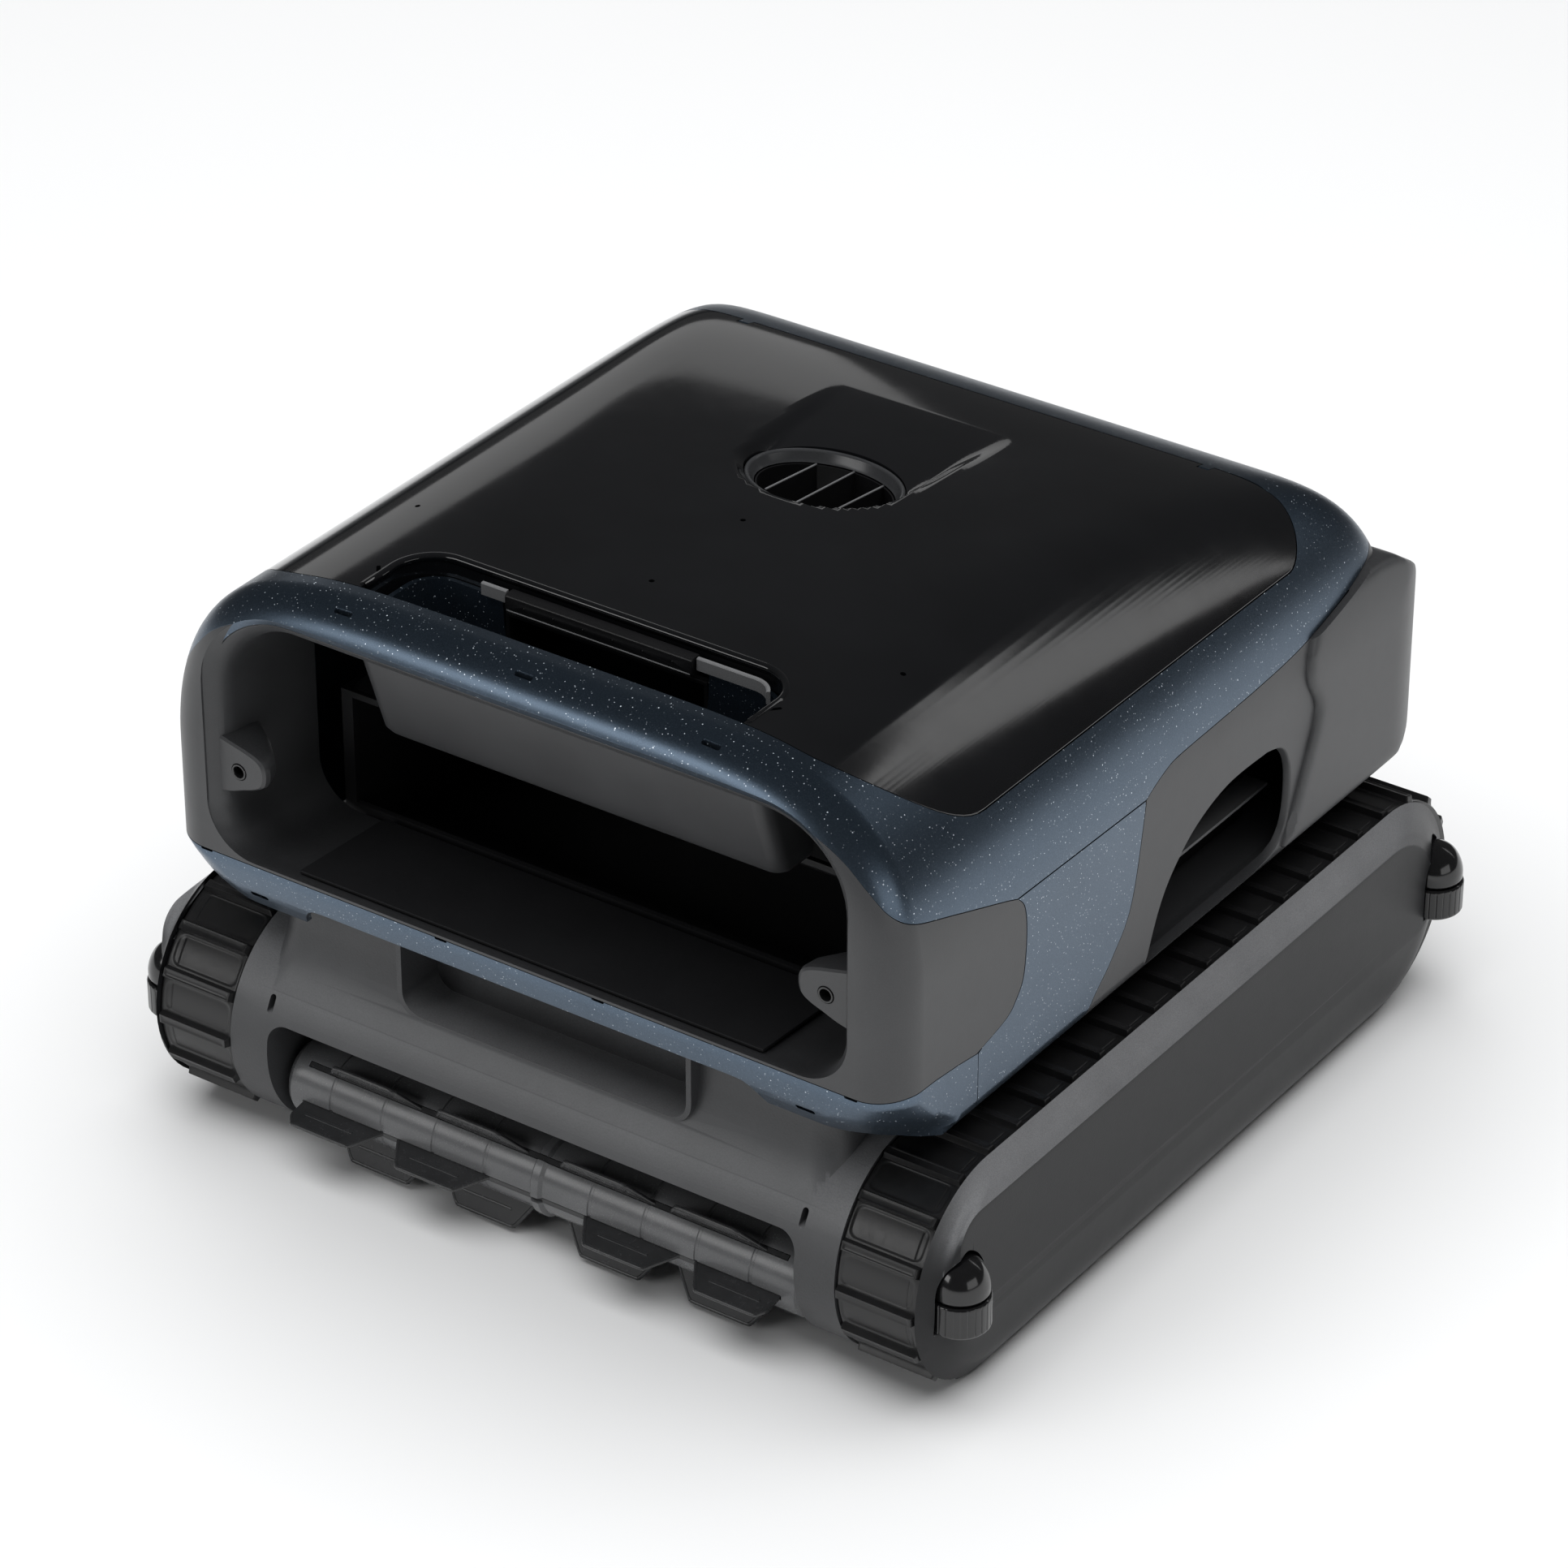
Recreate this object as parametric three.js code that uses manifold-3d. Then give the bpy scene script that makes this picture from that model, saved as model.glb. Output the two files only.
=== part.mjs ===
// Cordless robotic pool cleaner: body with front intake, tracks, roller brush and guide rollers.
// Millimetres, +X across, -Y towards the intake mouth, +Z up, ground at Z = 0.
import * as THREE from 'three';
import { mergeVertices } from 'three/addons/utils/BufferGeometryUtils.js';
import Module from 'manifold-3d';

const wasm = await Module();
wasm.setup();

// ---- driving dimensions -------------------------------------------------
const BODY_HALF_W = 190;
const BODY_MID_Z = 200;
const BODY_RISE = 92.3;
const BODY_BOTTOM_Z = 116;
const SIDE_POWER = 5.73;
const CORNER_POWER = 3.5;
const FRONT_Y = -217.5;
const FRONT_FILLET = 20;
const REAR_FACE_Y = 186;
const CROWN_Y = -119;
const CROWN_FALL = 4.03e-6;
const TAIL_LENGTH = 322;
const TAIL_POWER = 9.5;
const WALL = 3.2;
const GAP = 0.35;

const LID_HALF_W = 178;
const LID_FRONT_Y = -192;
const LID_REAR_Y = 124;
const LID_CORNER_R = 55;
const LID_WALL = 3;
const HINGE_R = 2.1;
const HINGE_Y = 121.5;
const HINGE_Z = 275.3;
const PIN_R = 1;
const EAR_X0 = 120;
const EAR_X1 = 125.4;

const WHEEL_Z = 53.9;
const FRONT_WHEEL_Y = -165.8;
const REAR_WHEEL_Y = 168.5;
const TREAD_R = 53.9;
const BELT_R = 50.9;
const BELT_IN_R = 46.4;
const BELT_X0 = 161;
const BELT_X1 = 201;
const TREAD_COUNT = 46;
const WHEEL_R = 45.7;

const CHASSIS_HALF_W = 160.5;
const CHASSIS_TOP_Z = 115.6;
const CHASSIS_R = 51.8;
const BRUSH_Y = -191.5;
const BRUSH_Z = 33.5;
const BRUSH_CORE_R = 18;
const BRUSH_TIP_R = 32.6;
const BRUSH_BAY_R = 35;
const BRUSH_HALF_L = 137.5;

const COVER_IN_X = 201.4;
const ROLLER_X = 208.4;
const ROLLER_Y = 196;
const ROLLER_R = 13.6;

// ---- solid helpers --------------------------------------------------------
function solid(geometry) {
  const bare = new THREE.BufferGeometry();
  bare.setAttribute('position', geometry.getAttribute('position'));
  if (geometry.index) {
    bare.setIndex(geometry.index);
  }
  const g = mergeVertices(bare, 1e-4);
  const vertProperties = new Float32Array(g.attributes.position.array);
  const triVerts = new Uint32Array(g.index.array);
  const out = new wasm.Manifold(new wasm.Mesh({ numProp: 3, vertProperties, triVerts }));
  if (out.volume() >= 0) {
    return out;
  }
  for (let i = 0; i < triVerts.length; i += 3) {
    const t = triVerts[i];
    triVerts[i] = triVerts[i + 1];
    triVerts[i + 1] = t;
  }
  return new wasm.Manifold(new wasm.Mesh({ numProp: 3, vertProperties, triVerts }));
}

// The largest connected piece of a solid.
function mainBody(body) {
  const pieces = body.decompose();
  return pieces.reduce((best, p) => (p.volume() > best.volume() ? p : best), pieces[0]);
}

function box(x0, x1, y0, y1, z0, z1) {
  const g = new THREE.BoxGeometry(x1 - x0, y1 - y0, z1 - z0);
  g.translate((x0 + x1) / 2, (y0 + y1) / 2, (z0 + z1) / 2);
  return solid(g);
}

// Prism of a 2-D outline. Axis 'z' reads [x, y]; 'x' reads [y, z]; 'y' reads [x, z].
function prism(points, axis, a0, a1) {
  const flip = axis === 'y' ? -1 : 1;
  const shape = new THREE.Shape(points.map((p) => new THREE.Vector2(p[0] * flip, p[1])));
  const g = new THREE.ExtrudeGeometry(shape, { depth: a1 - a0, bevelEnabled: false, curveSegments: 8 });
  g.translate(0, 0, a0);
  if (axis === 'x') {
    g.applyMatrix4(new THREE.Matrix4().makeBasis(
      new THREE.Vector3(0, 1, 0), new THREE.Vector3(0, 0, 1), new THREE.Vector3(1, 0, 0)));
  }
  if (axis === 'y') {
    g.applyMatrix4(new THREE.Matrix4().makeBasis(
      new THREE.Vector3(-1, 0, 0), new THREE.Vector3(0, 0, 1), new THREE.Vector3(0, 1, 0)));
  }
  return solid(g);
}

// Turned solid about an axis through (cx, cy, cz). Profile is [radius, along].
function turned(profile, axis, c, segments) {
  const g = new THREE.LatheGeometry(profile.map((p) => new THREE.Vector2(p[0], p[1])), segments);
  if (axis === 'x') {
    g.rotateZ(-Math.PI / 2);
  }
  if (axis === 'z') {
    g.rotateX(Math.PI / 2);
  }
  g.translate(c[0], c[1], c[2]);
  const out = solid(g);
  return out;
}

function rod(axis, c, r, a0, a1, segments = 24) {
  return turned([[0, a0], [r, a0], [r, a1], [0, a1]], axis, c, segments);
}

function tube(axis, c, r, hole, a0, a1, segments = 24) {
  return turned([[hole, a0], [r, a0], [r, a1], [hole, a1], [hole, a0]], axis, c, segments);
}

// Rounded rectangle outline, each corner with its own radius (order: --, +-, ++, -+).
function roundRect(x0, x1, y0, y1, radii, steps = 5) {
  const corners = [
    [x0 + radii[0], y0 + radii[0], radii[0], Math.PI],
    [x1 - radii[1], y0 + radii[1], radii[1], 1.5 * Math.PI],
    [x1 - radii[2], y1 - radii[2], radii[2], 0],
    [x0 + radii[3], y1 - radii[3], radii[3], 0.5 * Math.PI],
  ];
  const out = [];
  for (const [cx, cy, r, a] of corners) {
    for (let k = 0; k <= steps; k += 1) {
      const t = a + (k / steps) * Math.PI / 2;
      out.push([cx + r * Math.cos(t), cy + r * Math.sin(t)]);
    }
  }
  return out;
}

function ellipse(cx, cy, rx, ry, n) {
  const out = [];
  for (let k = 0; k < n; k += 1) {
    const t = (k / n) * 2 * Math.PI;
    out.push([cx + rx * Math.cos(t), cy + ry * Math.sin(t)]);
  }
  return out;
}

// Closed loft through rings of equal length, capped with a fan at both ends.
function loft(rings) {
  const n = rings[0].length;
  const positions = rings.flat(2);
  const index = [];
  for (let i = 0; i + 1 < rings.length; i += 1) {
    for (let j = 0; j < n; j += 1) {
      const a = i * n + j;
      const b = i * n + (j + 1) % n;
      index.push(a, b, b + n, a, b + n, a + n);
    }
  }
  for (const [ring, first, flip] of [[rings[0], 0, true], [rings.at(-1), (rings.length - 1) * n, false]]) {
    const mid = [0, 1, 2].map((k) => ring.reduce((s, p) => s + p[k], 0) / n);
    const m = positions.length / 3;
    positions.push(...mid);
    for (let j = 0; j < n; j += 1) {
      const a = first + j;
      const b = first + (j + 1) % n;
      if (flip) {
        index.push(m, b, a);
      } else {
        index.push(m, a, b);
      }
    }
  }
  const g = new THREE.BufferGeometry();
  g.setAttribute('position', new THREE.Float32BufferAttribute(positions, 3));
  g.setIndex(index);
  return solid(g);
}

// ---- body skin ---------------------------------------------------------------
function tailTerm(y) {
  const s = Math.max(0, y - CROWN_Y);
  return CROWN_FALL * s * s + (s / TAIL_LENGTH) ** TAIL_POWER;
}

function skinField(x, y, z) {
  const u = (Math.abs(x) / BODY_HALF_W) ** SIDE_POWER;
  const v = tailTerm(y);
  const w = Math.max(0, (z - BODY_MID_Z) / BODY_RISE);
  return w * w + (u ** CORNER_POWER + v ** CORNER_POWER) ** (1 / CORNER_POWER) - 1;
}

function skinNormal(x, y, z) {
  const e = 0.02;
  const n = new THREE.Vector3(
    skinField(x + e, y, z) - skinField(x - e, y, z),
    skinField(x, y + e, z) - skinField(x, y - e, z),
    skinField(x, y, z + e) - skinField(x, y, z - e));
  return n.normalize();
}

const TOP_STEPS = 8;

// One half section at y, from the bottom middle to the crown, pushed in by `off`.
function halfSection(y, off, roundIn) {
  const v = tailTerm(y);
  const half = BODY_HALF_W * (1 - v ** CORNER_POWER) ** (1 / (CORNER_POWER * SIDE_POWER));
  const push = off + roundIn;
  const out = [[0, y, BODY_BOTTOM_Z + off]];
  const sideN = skinNormal(half, y, BODY_MID_Z - 10);
  const sx = half - push * sideN.x;
  const sy = y - off * sideN.y;
  out.push([sx - 10, sy, BODY_BOTTOM_Z + off]);
  out.push([sx, sy, BODY_BOTTOM_Z + 10 + 0.4 * off]);
  out.push([sx, sy, BODY_MID_Z - 4]);
  for (let k = 1; k <= TOP_STEPS; k += 1) {
    const t = (Math.PI / 2) * (k / TOP_STEPS) ** 0.93;
    const x = k === TOP_STEPS ? 0 : half * Math.cos(t) ** (2 / SIDE_POWER);
    const u = (x / BODY_HALF_W) ** SIDE_POWER;
    const h2 = 1 - (u ** CORNER_POWER + v ** CORNER_POWER) ** (1 / CORNER_POWER);
    const z = BODY_MID_Z + BODY_RISE * Math.sqrt(Math.max(0, h2));
    const n = skinNormal(x, y, z);
    out.push([k === TOP_STEPS ? 0 : x - push * n.x, y - off * n.y, z - push * n.z]);
  }
  return out;
}

const FILLET_ANGLES = [90, 68, 48, 30, 14, 0];
const LENGTH_STATIONS = [-150, -60, 10, 60, 95, 120, 138, 152, 163, 172, 179];

// Closed body solid whose skin is pushed in by `off` everywhere.
function bodySolid(off) {
  const rings = [];
  const r = FRONT_FILLET - off;
  const fy = FRONT_Y + FRONT_FILLET;
  for (const a of FILLET_ANGLES) {
    const t = THREE.MathUtils.degToRad(a);
    rings.push(halfSection(fy - r * Math.sin(t), off, r - r * Math.cos(t)));
  }
  for (const y of LENGTH_STATIONS) {
    rings.push(halfSection(y, off, 0));
  }
  rings.push(halfSection(REAR_FACE_Y, off, 0));
  const full = rings.map((half) => {
    const left = half.slice(1, -1).reverse().map((p) => [-p[0], p[1], p[2]]);
    return half.concat(left);
  });
  return loft(full).intersect(box(-400, 400, -400, REAR_FACE_Y - off, -100, 400));
}

const skin0 = bodySolid(0);
const skinLid = bodySolid(LID_WALL);
const skin1 = bodySolid(WALL);
const skinIn = bodySolid(WALL + 0.4);

// ---- shared outlines -------------------------------------------------------
// Lower edge of the blue frame, seen from the side, front to rear: [y, z].
const FRAME_EDGE = [
  [-219, 284], [-216.7, 279], [-215.8, 271], [-214.3, 261], [-212.2, 248], [-208, 237.5],
  [-198, 231], [-172.7, 223], [-140, 212.5], [-129.3, 208.6], [-30, 206.6], [-3.7, 215],
  [29, 216], [96, 219.4], [159, 232], [190, 240],
];
const CHEEK_EDGE = [[-129.3, 208.6], [-124, 202], [-122.2, 188], [-123.8, 169], [-134, 155], [-158, 149]];
const SURROUND_EDGE = [[-30, 206.6], [-39.3, 160.7], [-54, 140.3], [-69.5, 126], [-78, 108]];
const BUMPER_TOP_Z = 151;

function shiftEdge(points, dy, dz) {
  return points.map((p) => [p[0] + dy, p[1] + dz]);
}

const lidOutline = (grow) => roundRect(
  -LID_HALF_W - grow, LID_HALF_W + grow, LID_FRONT_Y - grow, LID_REAR_Y + grow,
  [LID_CORNER_R + grow, LID_CORNER_R + grow, 22 + grow, 22 + grow], 6);

const aboveFrameEdge = prism(
  shiftEdge(FRAME_EDGE, 0, GAP / 2).concat([[200, 320], [-230, 320], [-230, 284]]), 'x', -300, 300);

const group = new THREE.Group();
group.name = 'pool_cleaner';

const COLORS = {
  black: 0x17181a, blue: 0x3a5068, grey: 0x4c4d50, dark: 0x2b2c2f, cover: 0x3f4043,
  rubber: 0x1b1c1d, ash: 0x6a6b6e, metal: 0x9a9ca0, soot: 0x101112, cell: 0x34506a,
};

function add(name, body, color, opts = {}) {
  const mesh = body.getMesh();
  const g = new THREE.BufferGeometry();
  g.setAttribute('position', new THREE.BufferAttribute(new Float32Array(mesh.vertProperties), 3));
  g.setIndex(new THREE.BufferAttribute(new Uint32Array(mesh.triVerts), 1));
  const flat = g.toNonIndexed();
  flat.computeVertexNormals();
  const m = new THREE.Mesh(flat, new THREE.MeshStandardMaterial({
    color: COLORS[color], roughness: opts.rough ?? 0.5, metalness: opts.metal ?? 0, side: THREE.FrontSide,
  }));
  m.name = name;
  group.add(m);
}

// ---- mouth opening ---------------------------------------------------------
const mouthRing = (y, halfW, z0, z1, rTop, rBot) => roundRect(-halfW, halfW, z0, z1, [rBot, rBot, rTop, rTop], 5)
  .map((p) => [p[0], y, p[1]]);
const mouthHole = (grow, y1) => loft([
  mouthRing(-222, 167 + grow, 152.6 - grow, 282 + grow, 42, 24),
  mouthRing(FRONT_Y + 1, 166 + grow, 152.8 - grow, 278 + grow, 42, 24),
  mouthRing(-211, 161 + grow, 151.6 - grow, 270 + grow, 40, 22),
  mouthRing(-204, 159 + grow, 150.4 - grow, 266 + grow, 38, 22),
  mouthRing(y1, 157 + grow, 147.4 - grow, 264 + grow, 36, 22),
]);

// ---- top lid -----------------------------------------------------------------
const POCKET = { halfW: 97.5, frontY: -194, rearY: -150.5, r: 17 };
const pocketOutline = (grow, frontY) => roundRect(
  -POCKET.halfW - grow, POCKET.halfW + grow, frontY, POCKET.rearY + grow, [0.5, 0.5, POCKET.r + grow, POCKET.r + grow], 4);

const VENT = { y: 7, rx: 38.5, ry: 28.5 };
const SLAT_PITCH = 17.6;
const lidBlank = skin0.subtract(skinLid).intersect(prism(lidOutline(-GAP), 'z', 230, 320));
const dish = (() => {
  const g = new THREE.SphereGeometry(1, 20, 12);
  g.scale(82, 98, 30);
  g.translate(0, 16, 312.6);
  return solid(g);
})();
const pocketSkirt = prism(pocketOutline(2.6, -191), 'z', 277, 300)
  .subtract(prism(pocketOutline(0, -240), 'z', 200, 320))
  .intersect(skin0)
  .intersect(prism(lidOutline(-GAP), 'z', 230, 320));
const ventPad = prism(ellipse(0, 12, 56, 58, 28), 'z', 278.5, 300).intersect(skin0);
const hingeBarrel = rod('x', [0, HINGE_Y, HINGE_Z], HINGE_R, -118, 118, 16);
const lid = lidBlank.add(pocketSkirt).add(ventPad)
  .add(hingeBarrel)
  .subtract(prism(pocketOutline(0, -240), 'z', 200, 320))
  .subtract(dish)
  .subtract(prism(ellipse(0, VENT.y, VENT.rx + 0.3, VENT.ry + 0.3, 28), 'z', 200, 320))
  .subtract(rod('x', [0, HINGE_Y, HINGE_Z], PIN_R + 0.08, -130, 130, 14))
  .subtract(box(EAR_X0 - GAP, EAR_X1 + GAP, HINGE_Y - 2.6 - GAP, 140, 230, 300))
  .subtract(box(-EAR_X1 - GAP, -EAR_X0 + GAP, HINGE_Y - 2.6 - GAP, 140, 230, 300));
add('top_lid', lid, 'black', { rough: 0.2 });

add('lid_hinge_pin', rod('x', [0, HINGE_Y, HINGE_Z], PIN_R, -124.4, 124.4, 14), 'metal', { rough: 0.3, metal: 1 });

// vent rim and slats
const ventRim = (() => {
  const outer = prism(ellipse(0, VENT.y, VENT.rx, VENT.ry, 28), 'z', 279.2, 284.4);
  const rings = [[0, 279], [0, 281], [3, 285]].map(([grow, z]) => (
    ellipse(0, VENT.y, VENT.rx - 5 + grow, VENT.ry - 5 + grow, 28).map((p) => [p[0], p[1], z])));
  return outer.subtract(loft(rings));
})();
add('vent_rim', ventRim, 'grey', { rough: 0.4 });
const slats = (() => {
  let s = prism(ellipse(0, VENT.y, VENT.rx - 5.3, VENT.ry - 5.3, 28), 'z', 275.6, 278.9)
    .subtract(prism(ellipse(0, VENT.y, VENT.rx - 8.3, VENT.ry - 8.3, 28), 'z', 270, 290));
  for (const x of [-SLAT_PITCH, 0, SLAT_PITCH]) {
    const blade = prism([[VENT.y - 30, 270], [VENT.y + 30, 270], [VENT.y + 30, 276.4], [VENT.y - 30, 283.6]], 'x', x - 0.7, x + 0.7)
      .intersect(prism(ellipse(0, VENT.y, VENT.rx - 5.4, VENT.ry - 5.4, 28), 'z', 260, 290));
    s = s.add(blade);
  }
  return s;
})();
add('vent_grille', slats, 'dark', { rough: 0.35 });

// ---- hand recess ------------------------------------------------------------------
const BAR_HALF = 48;
const barProfile = [[-158.5, 281], [-156.5, 279.6], [-152.4, 279.6], [-152.4, 288.4], [-157, 288.4], [-158.5, 287]];
add('latch_bar', prism(barProfile, 'x', -BAR_HALF, BAR_HALF), 'soot', { rough: 0.35 });
for (const [side, s] of [['l', -1], ['r', 1]]) {
  const strip = prism([[-156.8, 284.2], [-153.6, 284.2], [-153.6, 288.6], [-156.8, 288.6]], 'x',
    Math.min(s * (BAR_HALF + 0.6), s * 80), Math.max(s * (BAR_HALF + 0.6), s * 80));
  add(`bar_end_${side}`, strip, 'ash', { rough: 0.4 });
}

const tub = prism([[-191.4, 288.4], [-168.6, 212.6], [-150.6, 212.6], [-150.6, 276.4], [-184.6, 276.4],
  [-188.6, 288.4]], 'x', -94.6, 94.6)
  .subtract(prism([[-189.3, 290], [-166.4, 215.2], [-153.2, 215.2], [-153.2, 290]], 'x', -92, 92))
  .subtract(box(-52.5, 52.5, -160, -140, 229, 290));
add('hand_pocket', tub, 'blue', { rough: 0.4, metal: 0.4 });
const fingerWell = box(-52, 52, -153, -126, 229.6, 276.2)
  .subtract(box(-49.8, 49.8, -160, -128.2, 232, 274));
add('finger_well', fingerWell, 'soot', { rough: 0.4 });

// ---- blue frame and bumper ------------------------------------------------------------
const drainSlot = (x, y, z0, z1, len = 7, wid = 1.5) => prism(
  roundRect(x - len / 2, x + len / 2, y - wid / 2, y + wid / 2, [0.7, 0.7, 0.7, 0.7], 2), 'z', z0, z1);
let frame = skin0.subtract(skin1).intersect(aboveFrameEdge)
  .subtract(prism(lidOutline(GAP), 'z', 190, 330))
  .subtract(mouthHole(0.2, -190));
for (const x of [-93.5, 0, 93.5]) {
  frame = frame.subtract(drainSlot(x, -208.6, 270, 300));
}
// room for the lid's rear edge to swing, then the ears that carry the pin ends
frame = frame.subtract(rod('x', [0, HINGE_Y, HINGE_Z], 3.4, -165, 165, 16));
for (const s of [-1, 1]) {
  const x0 = Math.min(s * EAR_X0, s * EAR_X1);
  const x1 = Math.max(s * EAR_X0, s * EAR_X1);
  const ear = prism([[HINGE_Y, 272.7], [LID_REAR_Y + 3, 268], [LID_REAR_Y + 3, 290], [HINGE_Y, 290]], 'x', x0, x1)
    .add(rod('x', [0, HINGE_Y, HINGE_Z], 2.6, x0, x1, 20))
    .intersect(skin0)
    .subtract(rod('x', [0, HINGE_Y, HINGE_Z], PIN_R + 0.02, -130, 130, 14));
  frame = frame.add(ear);
}
add('hood_frame', frame, 'blue', { rough: 0.35, metal: 0.5 });

// Chin under the mouth: the plan outline draws in and its corners open out towards the bottom.
const CHIN = [[120, -206, 46], [126, -208.6, 44], [133, -213, 38], [140, -215.9, 32], [146, -217.2, 26], [152, -218, 20.5]];
const chinBody = (off) => loft(CHIN.concat([[300, -219, 20.5]]).map(([z, y, r]) => (
  roundRect(-190.3 + off, 190.3 - off, y + off, 0, [r - off, r - off, 1, 1], 6).map((p) => [p[0], p[1], z]))));
const chinPlates = skin0.intersect(chinBody(0)).subtract(skin1.intersect(chinBody(WALL)));
let bumper = chinPlates.intersect(prism(
  [[-240, BUMPER_TOP_Z], [-218.5, BUMPER_TOP_Z], [-206, 152.6], [-188, 152.4], [-158, 148.6], [-157, 148.4],
    [-157, 126.3], [-240, 126.3]], 'x', -300, 300))
  .subtract(prism([[-122, 120], [-110, 137.4], [110, 137.4], [122, 120]], 'y', -240, -150));
for (const x of [-143, 143]) {
  bumper = bumper.subtract(prism(
    roundRect(x - 4, x + 4, 133.2, 134.8, [0.7, 0.7, 0.7, 0.7], 2), 'y', -230, -190));
}
add('front_bumper', bumper, 'blue', { rough: 0.35, metal: 0.5 });

const panelRegion = [[-156.6, 108], [-156.6, 148.3], [-133.6, 154.9], [-123.4, 169], [-121.8, 188], [-123.6, 202.2],
  [-129, 208.2], [-30.4, 206.2], [-39.7, 160.6], [-54.4, 140.1], [-69.9, 125.8], [-78.4, 108]];
for (const [side, s] of [['l', -1], ['r', 1]]) {
  const panel = skin0.subtract(skin1)
    .intersect(prism(panelRegion, 'x', s > 0 ? 100 : -300, s > 0 ? 300 : -100))
    .intersect(box(s > 0 ? 181 : -300, s > 0 ? 300 : -181, -200, 0, 100, 300));
  add(`side_panel_${side}`, panel, 'blue', { rough: 0.35, metal: 0.5 });
}

// ---- intake mouth ---------------------------------------------------------------------
const cheekRegion = prism(
  shiftEdge(FRAME_EDGE.slice(0, 10), 0, -GAP / 2).reverse()
    .concat([[-230, 284], [-230, BUMPER_TOP_Z + GAP], [-218.5, BUMPER_TOP_Z + GAP], [-206, 153], [-188, 152.8]])
    .concat(CHEEK_EDGE.slice(1).reverse().map((p) => [p[0], p[1] + 0.2])), 'x', -300, 300);
const cheeks = skin0.subtract(skin1).intersect(cheekRegion);
const ductWall = mouthHole(2.6, -152).intersect(skinIn.add(skin0.intersect(cheekRegion)));
const chinClear = prism([[-240, BUMPER_TOP_Z + GAP], [-213.9, BUMPER_TOP_Z + GAP], [-209.5, 140], [-240, 140]], 'x', -300, 300);
const hangOuter = prism([[-193.9, 268], [-173.4, 208.6], [-152, 208.6], [-152, 268]], 'x', -104.5, 104.5);
const hangInner = prism([[-196.2, 284], [-171.2, 211.4], [-140, 211.4], [-140, 284]], 'x', -101.5, 101.5);
let mouth = cheeks.add(ductWall).subtract(mouthHole(0, -140)).add(hangOuter).subtract(hangInner).subtract(chinClear);
// side lugs with sockets
for (const s of [-1, 1]) {
  const lug = [[168, 207], [141, 202.5], [137, 197], [140.5, 187], [150, 182.5], [168, 179]];
  const pts = lug.map((p) => [s * p[0], p[1]]);
  const front = pts.map((p) => [p[0], -211.6, p[1]]);
  const back = front.map((p) => [p[0] + s * Math.min(17, (168 - Math.abs(p[0])) * 0.62), -186, p[2] * 0.8 + 39]);
  mouth = mouth.add(loft([front, back]))
    .subtract(rod('y', [s * 152, -205, 192.5], 4.3, -10, 3.4, 16));
}
add('mouth_duct', mainBody(mouth), 'grey', { rough: 0.5 });
for (const [side, s] of [['l', -1], ['r', 1]]) {
  add(`lug_socket_${side}`, turned(
    [[0, -4.4], [4, -4.4], [4, 3], [0, 3], [0, 3]].slice(0, 4), 'y', [s * 152, -205, 192.5], 16)
    .subtract(rod('y', [s * 152, -205, 192.5], 2.4, -9, -1, 12)), 'soot', { rough: 0.3 });
}
add('intake_floor', prism(
  [[-212, 151.6], [-154, 148.2], [-154, 150], [-212, 153.2]].map((p) => [p[0], p[1] + 0.9]), 'x', -121, 121), 'dark');

// ---- rear hull ----------------------------------------------------------------------------
const BULGE_SIDE = [[84, 124], [102, 163], [109, 184], [100, 203], [106, 222], [125, 230], [160, 231.5],
  [178, 229], [190, 221], [204, 212.5], [214, 206], [222, 197], [227, 186], [227, 150], [221, 139], [205, 131],
  [188, 124]];
function bulge(off) {
  const side = BULGE_SIDE.map(([y, z]) => {
    const my = 160;
    const mz = 170;
    const d = Math.hypot(y - my, z - mz);
    return [y + (my - y) / d * off * 1.25, z + (mz - z) / d * off * 1.25];
  });
  const section = [[-193 + off, 110]];
  for (let k = -8; k <= 8; k += 1) {
    const x = (193 - off) * Math.sign(k) * (1 - (1 - Math.abs(k) / 8) ** 2.4);
    const z = 200 + (95 - off) * Math.sqrt(Math.max(0, 1 - (Math.abs(x) / (193 - off)) ** 5.73));
    section.push([x, Math.min(z, 245)]);
  }
  section.push([193 - off, 110]);
  const plan = roundRect(-193 + off, 193 - off, 40, 227 - off, [2, 2, 50 - off, 50 - off], 7);
  return prism(side, 'x', -250, 250).intersect(prism(section.reverse(), 'y', 0, 260)).intersect(prism(plan, 'z', 100, 260));
}
const hullRegion = prism(
  shiftEdge(FRAME_EDGE.slice(10), 0, -GAP / 2).reverse()
    .concat(SURROUND_EDGE.slice(1).map((p) => [p[0] + 0.1, p[1]]))
    .concat([[200, 112]]), 'x', -300, 300);
const WINDOW = [[70, 181], [84, 176], [91, 161], [89, 136], [76, 124.5], [58, 121.6], [15, 121.6], [-27, 121.6],
  [-17.7, 144], [-6.8, 159], [12, 173], [38, 181]];
const windowRing = (x, grow) => WINDOW.map(([y, z]) => {
  const d = Math.hypot(y - 36, z - 148);
  return [x, y + (y - 36) / d * grow, Math.max(120.4, z + (z - 148) / d * grow)];
});
let hull = skin0.intersect(hullRegion).add(bulge(0))
  .subtract(skin1.intersect(prism([[-200, 100], [-200, 320], [200, 320], [200, 100]], 'x', -300, 300)))
  .subtract(bulge(WALL));
for (const s of [-1, 1]) {
  const cut = [windowRing(170, -1.5), windowRing(184, -1.5), windowRing(194, 4)]
    .map((ring) => ring.map((p) => [s * p[0], p[1], p[2]]));
  hull = hull.subtract(loft(cut));
}
const tray = box(-176, 176, -150, -20, 116.2, 119)
  .subtract(box(-300, 300, -400, -151, 0, 300));
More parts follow.
